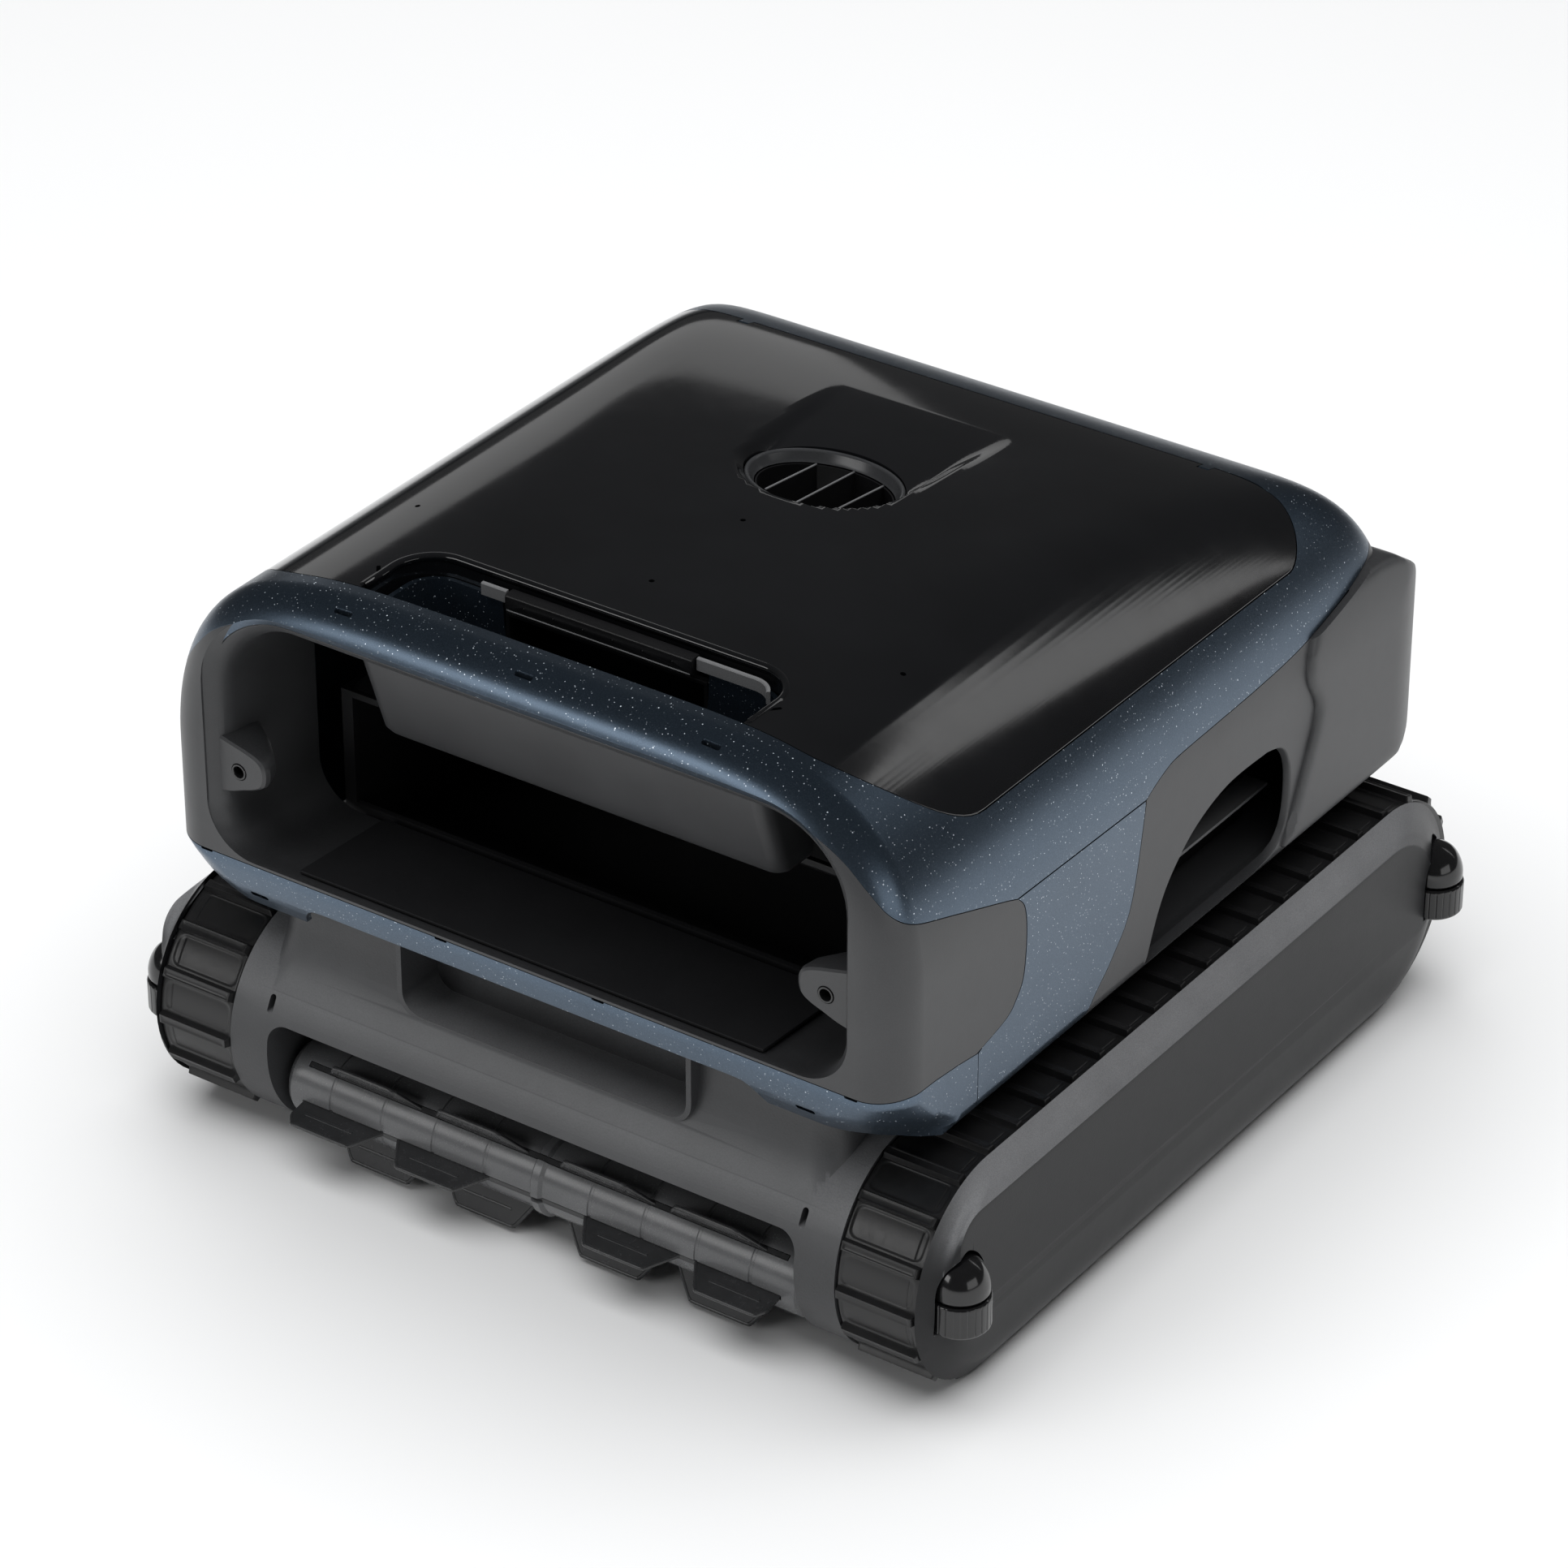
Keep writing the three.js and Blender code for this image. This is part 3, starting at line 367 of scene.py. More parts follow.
def skin_normals(ob):
    """Gives faces that lie on the outer or inner skin the skin's own normals, and leaves every other face."""
    me = ob.data
    p = (read(me.vertices, "co", 3) / MM)[read(me.loops, "vertex_index", 1, np.int32)]
    face_n = np.repeat(read(me.polygons, "normal", 3), read(me.polygons, "loop_total", 1, np.int32), axis=0)
    best = read(me.corner_normals, "vector", 3)
    for off, side in ((0.0, 1.0), (WALL, -1.0)):
        r = FILLET - off
        sin_t = np.clip((FRONT_Y + FILLET - p[:, 1]) / r, 0, 1)
        cos_t = np.sqrt(1 - sin_t * sin_t)
        push = off + r * (1 - cos_t) * (sin_t > 0)
        q = p.copy()
        q[:, 1] = np.maximum(q[:, 1], FRONT_Y + FILLET - r * sin_t)
        for _ in range(4):
            n = field_normal(q[:, 0], q[:, 1], q[:, 2])
            q = p + push[:, None] * n * np.array([1, 0, 1])
        total = n * cos_t[:, None] + np.array([0, -1.0, 0]) * sin_t[:, None]
        total /= np.maximum(1e-9, np.linalg.norm(total, axis=1, keepdims=True))
        off_by = np.abs(field(p[:, 0] + push * n[:, 0], p[:, 1], p[:, 2] + push * n[:, 2]))
        good = (off_by < 0.02) & (np.einsum("ij,ij->i", face_n, total) * side > 0.9)
        best[good] = total[good] * side
    me.normals_split_custom_set([tuple(v) for v in best])
    return ob


def finish_skin(ob, angle=32):
    shade(ob, angle)
    return skin_normals(ob)


# ------ materials
class Look:
    """Node material; its methods add nodes and give back their output sockets."""

    def __init__(self, name):
        self.mat = bpy.data.materials.new(name)
        self.mat.use_nodes = True
        self.tree = self.mat.node_tree
        self.bsdf = self.tree.nodes["Principled BSDF"]
        self.place = self.node("TexCoord").outputs["Object"]

    def node(self, kind):
        return self.tree.nodes.new("ShaderNode" + kind)

    def feed(self, socket, value):
        if isinstance(value, bpy.types.NodeSocket):
            self.tree.links.new(value, socket)
        elif socket.type == "RGBA":
            socket.default_value = (*value, 1)
        else:
            socket.default_value = value

    def set(self, **values):
        """Inputs of the surface; an underscore stands for a space."""
        for key, value in values.items():
            self.feed(self.bsdf.inputs[key.replace("_", " ")], value)

    def noise(self, scale, detail=3.0, rough=0.55, distort=0.0, where=None):
        n = self.node("TexNoise")
        values = {"Scale": scale, "Detail": detail, "Roughness": rough, "Distortion": distort,
            "Vector": self.place if where is None else where}
        for key, value in values.items():
            self.feed(n.inputs[key], value)
        return n.outputs["Fac"]

    def cells(self, scale, where=None):
        n = self.node("TexVoronoi")
        self.feed(n.inputs["Scale"], scale)
        self.feed(n.inputs["Vector"], self.place if where is None else where)
        return n.outputs

    def moved(self, key, value):
        n = self.node("Mapping")
        self.feed(n.inputs[key], value)
        self.feed(n.inputs["Vector"], self.place)
        return n.outputs[0]

    def span(self, value, a0, a1, b0, b1, smooth=False):
        """The stretch a0 to a1 spread over b0 to b1."""
        n = self.node("MapRange")
        n.interpolation_type = "SMOOTHSTEP" if smooth else "LINEAR"
        for socket, v in zip(n.inputs, (value, a0, a1, b0, b1)):
            self.feed(socket, v)
        return n.outputs[0]

    def calc(self, op, a, b):
        n = self.node("Math")
        n.operation = op
        self.feed(n.inputs[0], a)
        self.feed(n.inputs[1], b)
        return n.outputs[0]

    def mix(self, share, a, b):
        n = self.node("Mix")
        n.data_type = "RGBA"
        for i, v in ((0, share), (6, a), (7, b)):
            self.feed(n.inputs[i], v)
        return n.outputs[2]

    def patches(self, value):
        return self.span(value, 0.3, 0.7, 0, 1)

    def relief(self, height, strength, distance=0.0002):
        n = self.node("Bump")
        for key, value in (("Strength", strength), ("Distance", distance), ("Height", height)):
            self.feed(n.inputs[key], value)
        self.set(Normal=n.outputs[0])

    def upward(self, lo, hi):
        """0 on faces that look sideways, 1 on faces that look up."""
        sep = self.node("SeparateXYZ")
        self.feed(sep.inputs[0], self.node("TexCoord").outputs["Normal"])
        return self.span(sep.outputs[2], lo, hi, 0, 1, True)


def scaled(color, k, plus=0.0):
    return tuple(c * k + plus for c in color)


def plastic(name, color, rough, grain=0.0, grain_scale=1800.0, spec=0.5, vary=0.12, coat=0.0, top=None):
    """Moulded plastic: cloudy colour, fine grain in bump and roughness, faint handling marks.

    top: (colour, from, to) is painted light or shade: faces that look up blend into this paler or darker
    colour over the given stretch of the upward mask, standing in for how the lamps fall on them.
    """
    look = Look(name)
    cloud = look.noise(26.0, 4.0, 0.6)
    fine = look.noise(grain_scale, 2.0, 0.6)
    marks = look.noise(140.0, 5.0, 0.7, 0.6)
    col = look.mix(look.patches(cloud), scaled(color, 1 - vary), scaled(color, 1 + vary))
    # painted light or shade: faces that look up take the top colour in place of their own
    if top:
        painted_top_light = look.mix(look.patches(cloud), scaled(top[0], 0.9), scaled(top[0], 1.1))
        col = look.mix(look.upward(top[1], top[2]), col, painted_top_light)
    col = look.mix(look.span(fine, 0.35, 0.75, 0, 0.35), col, scaled(color, 1.5, 0.004))
    swing = 0.03 if grain else 0.0
    r = look.calc("ADD", look.span(cloud, 0.3, 0.7, rough - 0.02, rough + 0.02),
        look.span(marks, 0.45, 0.75, 0, 0.03))
    r = look.calc("ADD", r, look.span(fine, 0.3, 0.7, -swing, swing))
    look.set(Base_Color=col, Roughness=r, Specular_IOR_Level=spec, Coat_Weight=coat, Coat_Roughness=0.08)
    if grain > 0:
        pits = look.calc("MULTIPLY", look.cells(grain_scale * 0.7)["Distance"], 0.6)
        look.relief(look.calc("ADD", fine, pits), grain)
    else:
        look.relief(look.noise(60.0, 2.0), 0.02, 0.0004)
    return look.mat


def gloss_black():
    """Polished black with faint haze and dust."""
    look = Look("lid_gloss_black")
    col = look.mix(look.patches(look.noise(12.0, 3.0)), (0.0035, 0.0037, 0.0043), (0.0052, 0.0055, 0.0064))
    dust = look.noise(900.0, 2.0, 0.6)
    r = look.calc("ADD", look.span(look.noise(45.0, 5.0, 0.65), 0.35, 0.7, 0.075, 0.105),
        look.span(dust, 0.62, 0.8, 0.0, 0.05))
    look.set(Base_Color=col, Roughness=r, Specular_IOR_Level=0.5, Coat_Weight=0.25, Coat_Roughness=0.06)
    look.relief(look.noise(220.0, 3.0), 0.012, 0.0004)
    return look.mat


def metallic_blue():
    """Deep blue metallic paint with fine light flakes, and painted light and shade: paler on the faces that
    look sideways, deeper on the faces that look up.
    """
    look = Look("metallic_blue_flake")
    pearl = look.noise(1500.0, 2.0, 0.6)
    base = look.mix(look.patches(look.noise(30.0, 3.0)), (0.07, 0.098, 0.134), (0.081, 0.112, 0.151))
    base = look.mix(look.span(pearl, 0.45, 0.75, 0, 0.4), base, (0.15, 0.2, 0.27))
    # painted light and shade: faces that look sideways blend towards a paler blue and faces that look up
    # towards a deeper blue, standing in for how the lamps fall on the frame
    pale, painted_shade_blue = look.mix(0.12, base, (0.2, 0.255, 0.32)), look.mix(0.3, base, (0.03, 0.05, 0.075))
    base = look.mix(look.upward(0.25, 0.9), pale, painted_shade_blue)
    layers = []
    for scale, size, keep, off in ((460.0, 0.18, 0.45, 0.0), (700.0, 0.2, 0.5, 3.7)):
        flake = look.cells(scale, look.moved("Location", (off, off * 0.7, off * 1.3)))
        dot = look.span(flake["Distance"], size * 0.6, size, 1, 0, True)
        sep = look.node("SeparateColor")
        look.feed(sep.inputs[0], flake["Color"])
        chosen = look.calc("POWER", look.span(sep.outputs[0], keep, 1.0, 0, 1), 1.6)
        layers.append(look.calc("MULTIPLY", dot, chosen))
    flakes = look.calc("MAXIMUM", *layers)
    col = look.mix(flakes, base, (0.72, 0.8, 0.88))
    metal = look.calc("SUBTRACT", 0.92, look.calc("MULTIPLY", flakes, 0.6))
    r = look.calc("ADD", look.span(pearl, 0.3, 0.7, 0.3, 0.35), look.calc("MULTIPLY", flakes, -0.12))
    look.set(Base_Color=col, Metallic=metal, Roughness=r, Coat_Weight=0.12, Coat_Roughness=0.22)
    look.relief(look.calc("ADD", pearl, flakes), 0.05)
    return look.mat


def rubber(name, color, rough, spec):
    """Matt rubber with a pale bloom in patches."""
    look = Look(name)
    cloud = look.noise(40.0, 4.0, 0.65)
    bloom = look.noise(320.0, 4.0, 0.7, 0.4)
    col = look.mix(look.patches(cloud), scaled(color, 0.8), scaled(color, 1.25))
    col = look.mix(look.span(bloom, 0.55, 0.85, 0, 0.25), col, scaled(color, 2.2, 0.004))
    r = look.calc("ADD", look.span(cloud, 0.3, 0.7, rough - 0.04, rough + 0.04),
        look.span(bloom, 0.5, 0.8, 0, 0.1))
    look.set(Base_Color=col, Roughness=r, Specular_IOR_Level=spec)
    look.relief(look.noise(1300.0, 2.0), 0.06)
    return look.mat


def steel():
    """Turned steel with fine lines round its axis."""
    look = Look("turned_steel")
    lines = look.noise(1.0, 3.0, where=look.moved("Scale", (2200, 60, 60)))
    look.set(Base_Color=look.mix(lines, (0.42, 0.43, 0.45), (0.6, 0.61, 0.63)), Metallic=1.0,
        Roughness=look.span(lines, 0.3, 0.7, 0.24, 0.36))
    look.relief(lines, 0.05)
    return look.mat


M = {
    "gloss_black": gloss_black(),
    "metallic_blue": metallic_blue(),
    # The top colours paint light and shade on faces that look up: darker on the satin grey, paler on the
    # grained chassis grey and the cover grey.
    "satin_grey": plastic("satin_grey", (0.05, 0.051, 0.0535), 0.38, 0.1, 2400.0, 0.45,
    top=((0.022, 0.0225, 0.024), 0.6, 0.98)),
    "grained_grey": plastic("grained_grey", (0.042, 0.043, 0.0455), 0.4, 0.35, 1300.0, 0.45, 0.1,
    top=((0.17, 0.173, 0.179), 0.1, 0.95)),
    "cover_grey": plastic("cover_grey", (0.013, 0.0133, 0.0145), 0.36, 0.14, 2000.0, 0.2, 0.1,
    top=((0.2, 0.203, 0.21), 0.14, 0.74)),
    "dark_grey": plastic("dark_grey", (0.012, 0.0122, 0.0132), 0.5, 0.12, spec=0.4),
    "satin_black": plastic("satin_black", (0.006, 0.006, 0.0065), 0.36, 0.05, spec=0.4),
    "light_grey": plastic("light_grey", (0.13, 0.132, 0.136), 0.38, 0.08),
    "vent_grey": plastic("vent_grey", (0.03, 0.031, 0.033), 0.25),
    "roller_black": plastic("roller_black", (0.006, 0.006, 0.0065), 0.14, vary=0.1, coat=0.3),
    "brush_grey": plastic("brush_grey", (0.11, 0.112, 0.116), 0.24, 0.06, 1600.0),
    "track_rubber": rubber("track_rubber", (0.011, 0.011, 0.0115), 0.34, 0.5),
    "paddle_rubber": rubber("paddle_rubber", (0.024, 0.0245, 0.0257), 0.22, 0.55),
    "cell_blue": plastic("cell_wrap_blue", (0.03, 0.08, 0.14), 0.3, 0.03, 900.0),
    "steel": steel(),
}
replaced_nodes = set()


def dress(ob, name, body, slot, *replaced, mat=None):
    """Names a finished piece, gives it its material and hangs it on its CAD body."""
    ob.name = name
    ob.data.name = name
    ob.data.materials.clear()
    ob.data.materials.append(M[mat or slot])
    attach(ob, body)
    if replaced:
        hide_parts(*replaced)
        replaced_nodes.update(replaced)
    return ob


def dress_pair(right, name, slot, node):
    """Dresses a right-hand piece of the hull and its mirror copy."""
    left = mirror_copy(right)
    for side, piece in (("r", right), ("l", left)):
        dress(piece, "%s_%s" % (name, side), "hull", slot, "%s_%s" % (node, side))


# ------ shared outlines (y, z) and (x, y)
front_edge = spline([(-219, 284), (-216.7, 279), (-215.8, 271), (-214.3, 261), (-212.2, 248), (-208, 237.5),
    (-198, 231), (-172.7, 223), (-140, 212.5), (-129.3, 208.6)])
rear_edge = spline([(-30, 206.6), (-24, 209.6), (-14, 213.2), (-3.7, 215), (29, 216), (62, 217), (96, 219.4),
    (130, 225.4), (159, 232), (190, 240)])
cheek_edge = spline([(-129.3, 208.6), (-124, 202), (-122.2, 188), (-123.8, 169), (-129, 160), (-137, 154),
    (-158, 149)])
surround_edge = spline([(-30, 206.6), (-39.3, 160.7), (-54, 140.3), (-69.5, 126), (-78, 108)])
VENT_Y, VENT_RX, VENT_RY = 7.0, 38.0, 28.0
HINGE = (0, 121.5, 275.3)


def lid_tool(g, low):
    """The lid's outline, moved outwards by g, as an upright block."""
    radii = [55 + g, 55 + g, 22 + g, 22 + g]
    return prism(round_rect(-178 - g, 178 + g, -192 - g, 124 + g, radii, 20), "z", low, 330)


def pocket_outline(g, front):
    return round_rect(-97.5 - g, 97.5 + g, front, -150.5 + g, [0.5, 0.5, 19 + g, 19 + g], 14)


def pocket_tool():
    return prism(pocket_outline(0, -240), "z", 200, 320)


def slot_tool(x, half_x, y0, y1, axis, a0, a1, r=1.05, steps=6):
    """Small round-ended slot."""
    return prism(round_rect(x - half_x, x + half_x, y0, y1, [r] * 4, steps), axis, a0, a1)


def scoop(x, y):
    """Depth of the hollow that leads from the vent to the rear."""
    half, length, depth = 41.0, 74.0, 6.4
    behind = np.maximum(0, y - VENT_Y)
    round_front = np.sqrt((x / half) ** 2 + ((y - VENT_Y) / 33.0) ** 2)
    r = np.where(y < VENT_Y, round_front, np.abs(x) / (half + 0.09 * behind))
    t = np.clip((1.04 - r) / 0.2, 0, 1)
    wall = t * t * (3 - 2 * t)
    fade = np.clip(1 - np.maximum(0, y - 12) / length, 0, 1)
    return depth * wall * fade * (1 - 0.25 * (1 - fade))


def press_scoop(ob):
    """Sinks the lid's faces into the scoop and bends their normals with them."""
    me = ob.data
    n = read(me.corner_normals, "vector", 3)
    corner = read(me.loops, "vertex_index", 1, np.int32)
    co = read(me.vertices, "co", 3)
    x, y = co[:, 0] / MM, co[:, 1] / MM
    e = 0.2
    slope_x = (scoop(x + e, y) - scoop(x - e, y)) / (2 * e)
    slope_y = (scoop(x, y + e) - scoop(x, y - e)) / (2 * e)
    facing = np.where(np.abs(n[:, 2:3]) > 0.6, n[:, 2:3], 0)
    n = n + facing * np.stack([slope_x[corner], slope_y[corner], np.zeros(len(corner))], axis=1)
    n /= np.linalg.norm(n, axis=1, keepdims=True)
    co[:, 2] -= scoop(x, y) * MM
    me.vertices.foreach_set("co", co.ravel())
    me.update()
    me.normals_split_custom_set([tuple(v) for v in n])


skin0 = skin(0.0)
skin1 = skin(WALL)
shell = cut(copy(skin0), skin1, keep=True)

# ------ top lid
lid = common(copy(shell), lid_tool(-GAP / 2, 225))
skirt = cut(prism(pocket_outline(2.4, -191), "z", 278.5, 288.5), pocket_tool())
common(skirt, lid_tool(-GAP / 2, 225), copy(skin0))
fuse(lid, skirt)
cut(lid, pocket_tool(), prism(ellipse(0, VENT_Y, VENT_RX + 0.2, VENT_RY + 0.2), "z", 200, 320))
for x, y in ((-125, -118), (125, -118), (0, -54), (0, -120)):
    cut(lid, rod("z", (x, y, 0), 1.25, 270, 300, 20))
for s in (-1, 1):
    cos_a, sin_a = math.cos(s * 0.9), math.sin(s * 0.9)
    dash = [(x * cos_a - y * sin_a + s * 100.6, x * sin_a + y * cos_a - 176)
        for x, y in round_rect(-4, 4, -0.9, 0.9, [0.8] * 4, 4)]
    cut(lid, prism(dash, "z", 284, 300))
for s in (-1, 1):
    cut(lid, box(*sorted((s * 119.65, s * 125.75)), 118.55, 140, 230, 300))
finish_skin(lid)
press_scoop(lid)
dress(lid, "lid_shell", "lid", "gloss_black", "top_lid")

# soft raised bead round the recess, and the hinge barrel under the rear edge
bead_path = [p for p in pocket_outline(1.0, -189.5) if p[1] >= -189 or abs(p[0]) >= 97]
start = max(range(len(bead_path)), key=lambda i: (bead_path[i][0] > 0) * 1000 - bead_path[i][1])
bead_path = bead_path[start:] + bead_path[:start]
bead = sweep([(x, y, float(roof_z(x, y)) - 1.15) for x, y in bead_path], 1.9, 14)
dress(bead, "recess_bead", "lid", "gloss_black")
barrel = rod("x", HINGE, 2.1, -118, 118, 24)
shade(barrel)
dress(barrel, "lid_hinge_barrel", "lid", "gloss_black", mat="satin_black")


def vent_ring(g, z):
    """Ring round the vent, grown by g, that follows the fall of the roof."""
    outline = ellipse(0, VENT_Y, VENT_RX + g, VENT_RY + g)
    return [(x, y, z + (float(roof_z(0, y)) - 289.4) * 0.9) for x, y in outline]


def slat_half(x, share):
    return 28.4 * math.sqrt(1 - (x / 33.6) ** 2) * share


# thin lip that hugs the lower edge of the scoop, then the throat with its slats
RIM = ((-0.1, 280.0), (-0.1, 283.3), (-0.5, 284.1), (-1.2, 284.3), (-1.9, 284.0), (-2.4, 283.2),
    (-3.4, 280.4), (-4.4, 279.0))
rim = loft([vent_ring(g, z) for g, z in RIM], True)
shade(rim, 50)
dress(rim, "vent_lip", "lid", "vent_grey", "vent_rim")
SLAT_X = (-17.6, 0, 17.6)
slats = loft([vent_ring(g, z) for g, z in ((-4.9, 278.6), (-4.9, 262.0), (-5.7, 262.0), (-5.7, 278.6))], True)
shade(slats, 50)
for x in SLAT_X:
    y0, y1 = VENT_Y - slat_half(x, 0.82), VENT_Y + slat_half(x, 0.82)
    slat = prism([(y0, 264), (y1, 264), (y1, 277.6), (y0, 282.4)], "x", x - 0.55, x + 0.55)
    fuse(slats, soften(slat, 0.25))
shade(slats, 40)
dress(slats, "vent_slats", "lid", "satin_black", "vent_grille")
for i, x in enumerate(SLAT_X):
    half = slat_half(x, 0.8)
    edge = sweep([(x, VENT_Y - half + 2 * half * k / 12, 282.5 - 4.8 * k / 12) for k in range(13)], 0.5, 8)
    dress(edge, "vent_slat_edge_%d" % (i + 1), "lid", "light_grey")

# ------ hand recess
DOT_X = (-38, -23, -7.6, 7.6, 23, 38)
DOT_Z = 284.2
bar = prism([(-158.5, 281.4), (-157.9, 280.2), (-156.6, 279.6), (-152.4, 279.6), (-152.4, 288.2),
    (-156.8, 288.4), (-158.0, 288.0), (-158.5, 287.0)], "x", -48, 48)
soften(bar, 0.5)
for x in DOT_X:
    cut(bar, rod("y", (x, 0, DOT_Z), 0.8, -160, -157.6, 16))
dress(bar, "latch_bar_body", "latch", "satin_black", "latch_bar")
DOT = [(0, -158.55), (0.45, -158.45), (0.62, -158.2), (0.62, -157.9), (0, -157.9)]
for i, x in enumerate(DOT_X):
    dot = turned(DOT, "y", (x, 0, DOT_Z), 16)
    dress(dot, "latch_dot_%d" % (i + 1), "latch", "satin_black", mat="dark_grey")
lip = sweep([(x, -158.3, 281.0) for x in np.linspace(-47, 47, 24)], 0.45, 8)
dress(lip, "latch_lip", "latch", "satin_black", mat="light_grey")
STRIP_Y, BEND_R = -154.45, 12.5
STRIP_SECTION = ((1.2, 282.2), (1.7, 282.6), (1.7, 287.8), (1.2, 288.3), (0, 288.3), (0, 282.2))
for side, s in SIDES:
    # the right-hand strip is longer and follows the corner
    path = [Vector((s * x, STRIP_Y, 0)) for x in np.linspace(48.8, 78 if s > 0 else 62, 8)]
    if s > 0:
        path += [Vector((78 + BEND_R * math.sin(t), STRIP_Y - BEND_R * (1 - math.cos(t)), 0))
            for t in np.linspace(0.15, 1.1, 7)]
    rings = []
    for i, p in enumerate(path):
        t = (path[min(i + 1, len(path) - 1)] - path[max(i - 1, 0)]).normalized()
        rings.append([(p.x + s * t.y * u, p.y - s * t.x * u, z) for u, z in STRIP_SECTION])
    strip = loft(rings)
    shade(strip, 35)
    dress(strip, "recess_strip_%s" % side, "lid", "light_grey", "bar_end_%s" % side)


# blue tub with its rounded opening at the back
def tub_rings(g, floor_z, top_up, bottom_down=0.0):
    """Rings of the tub, grown by g, down to floor_z; its front leans and its foot is rounded."""
    out = []
    for z in (282.0, 276, 262, 248, 234, 224, 219, 217, 216):
        front = -189.3 + (290 - z) / 74.8 * 22.9
        tuck = max(0, 224 - z) * 0.6
        ring = round_rect(-92 - g, 92 + g, front + tuck * 0.4 - g, -153.2 - tuck * 0.4 + g,
            [4 + g, 4 + g, 13 + g, 13 + g], 12)
        height = max(z, floor_z) + (top_up if z == 282 else 0) - (bottom_down if z == 216 else 0)
        out.append([(x * (1 - tuck / 92), y, height) for x, y in ring])
    return out


tub = cut(loft(tub_rings(2.2, 0, 0, 2.4)), loft(tub_rings(0, 218.2, 3)[:-1]))
opening = mirrored([(38, 232), (45, 236), (48.5, 243), (50.6, 254), (52.5, 270)])
cut(tub, prism(spline(opening, 5) + [(53.5, 292), (-53.5, 292)], "y", -160, -140))
shade(tub, 35)
dress(tub, "recess_tub", "hull", "metallic_blue", "hand_pocket")
well = cut(box(-52, 52, -153, -126, 229.6, 276.2), box(-49.8, 49.8, -160, -128.2, 232, 274))
soften(well, 0.6)
dress(well, "recess_well", "hull", "satin_black", "finger_well")

# ------ blue frame
# Mouth opening from front to back: y, half width, bottom, top, upper and lower corner radius.
MOUTH = [(-222, 167, 152.6, 282, 42, 24), (-216.5, 166, 152.8, 278, 42, 24),
    (-214.5, 164.2, 152.5, 274.6, 41.4, 23.4), (-212.5, 162.4, 152.0, 272, 40.7, 22.7),
    (-210, 160.8, 151.4, 269.4, 40, 22.2), (-207, 159.7, 150.8, 267.3, 39, 22),
    (-204, 159, 150.4, 266, 38, 22), (-190, 158.5, 149.6, 265.4, 37.5, 22),
    (-170, 157.8, 148.5, 264.7, 36.8, 22)]


def mouth_hole(g, y_end):
    """The mouth's opening, grown by g, as far back as y_end."""
    rings = []
    for y, half, z0, z1, r_top, r_low in MOUTH + [(y_end, 157, 147.4, 264, 36, 22)]:
        ring = round_rect(-half - g, half + g, z0 - g, z1 + g, [r_low, r_low, r_top, r_top], 14)
        rings.append([(x, y, z) for x, z in ring])
    return loft(rings)


above = shift(front_edge + rear_edge, 0, GAP / 2) + [(200, 320), (-230, 320), (-230, 284)]
hood = common(copy(shell), prism(above, "x", -300, 300))
cut(hood, lid_tool(GAP / 2, 190), mouth_hole(0.2, -190))
for x in (-93.5, 0, 93.5):
    cut(hood, slot_tool(x, 4.6, -209.7, -207.5, "z", 270, 300))
cut(hood, rod("x", HINGE, 3.4, -165, 165, 24))
for s in (-1, 1):
    ends = sorted((s * 120, s * 125.4))
    ear = prism([(121.5, 272.7), (127, 268), (127, 290), (121.5, 290)], "x", *ends)
    common(fuse(ear, rod("x", HINGE, 2.6, *ends)), copy(skin0))
    fuse(hood, cut(ear, rod("x", HINGE, 1.02, -130, 130, 20)))
finish_skin(main_part(hood))
dress(hood, "hood_shell", "hull", "metallic_blue", "hood_frame")

# ------ bumper under the mouth
# Nose of the bumper from below: height, front, corner radius.
CHIN = [(112, -203.6, 47), (120, -206, 46), (123, -207.2, 45.2), (126, -208.6, 44), (129.5, -210.9, 41),
    (133, -213, 38), (136.5, -214.7, 35), (140, -215.9, 32), (146, -217.2, 26), (152, -218, 20.5),
    (300, -219, 20.5)]


def chin_body(off):
    rings = []
    for z, y, r in CHIN:
        ring = round_rect(-190.3 + off, 190.3 - off, y + off, 0, [r - off, r - off, 1, 1], 20)
        rings.append(level(ring, z))
    return loft(rings)


bumper = common(copy(skin0), chin_body(0))
cut(bumper, common(copy(skin1), chin_body(WALL)))
common(bumper, prism([(-240, 151), (-218.5, 151), (-212, 151.8), (-206, 152.4), (-197, 152.6), (-188, 152.2),
    (-172, 150.6), (-158, 148.6), (-157.1, 148.4), (-157.1, 117), (-230, 117)], "x", -300, 300))
cut(bumper, prism([(-240, 100), (-240, 126.2), (-205, 126.2), (-196, 124.6), (-188, 121.5), (-178, 118.6),
    (-150, 116.2), (-150, 100)], "x", -300, 300))
arch = mirrored([(0, 137.8), (80, 137.8), (108, 137.8), (114.5, 136.2), (118.2, 132), (121, 126), (124, 119),
    (128, 110)])
cut(bumper, prism(spline(arch, 4), "y", -240, -150))
for x in (-143, 143):
    cut(bumper, slot_tool(x, 4.8, 132.9, 135.1, "y", -230, -190))
for x in (-41, 41, -168, 168):
    cut(bumper, slot_tool(x, 3.2, 150.3, 153, "y", -230, -200 if abs(x) < 100 else -150, 0.6, 4))
finish_skin(main_part(bumper))
dress(bumper, "bumper_shell", "hull", "metallic_blue", "front_bumper")

# ------ side panels
panel_line = [(-156.7, 108), (-156.7, 148.3)] + shift(cheek_edge[::-1], 0.6, 0.0)[2:-2]
panel_line += [(-129, 208.1), (-30.8, 206.1)] + shift(surround_edge[1:], -0.4, 0)
for side, s in SIDES:
    panel = common(copy(shell), prism(panel_line, "x", *sorted((s * 100, s * 300))))
    common(panel, box(*sorted((s * 181, s * 300)), -200, 0, 100, 300))
    finish_skin(panel)
    dress(panel, "side_panel_shell_%s" % side, "hull", "metallic_blue", "side_panel_%s" % side)

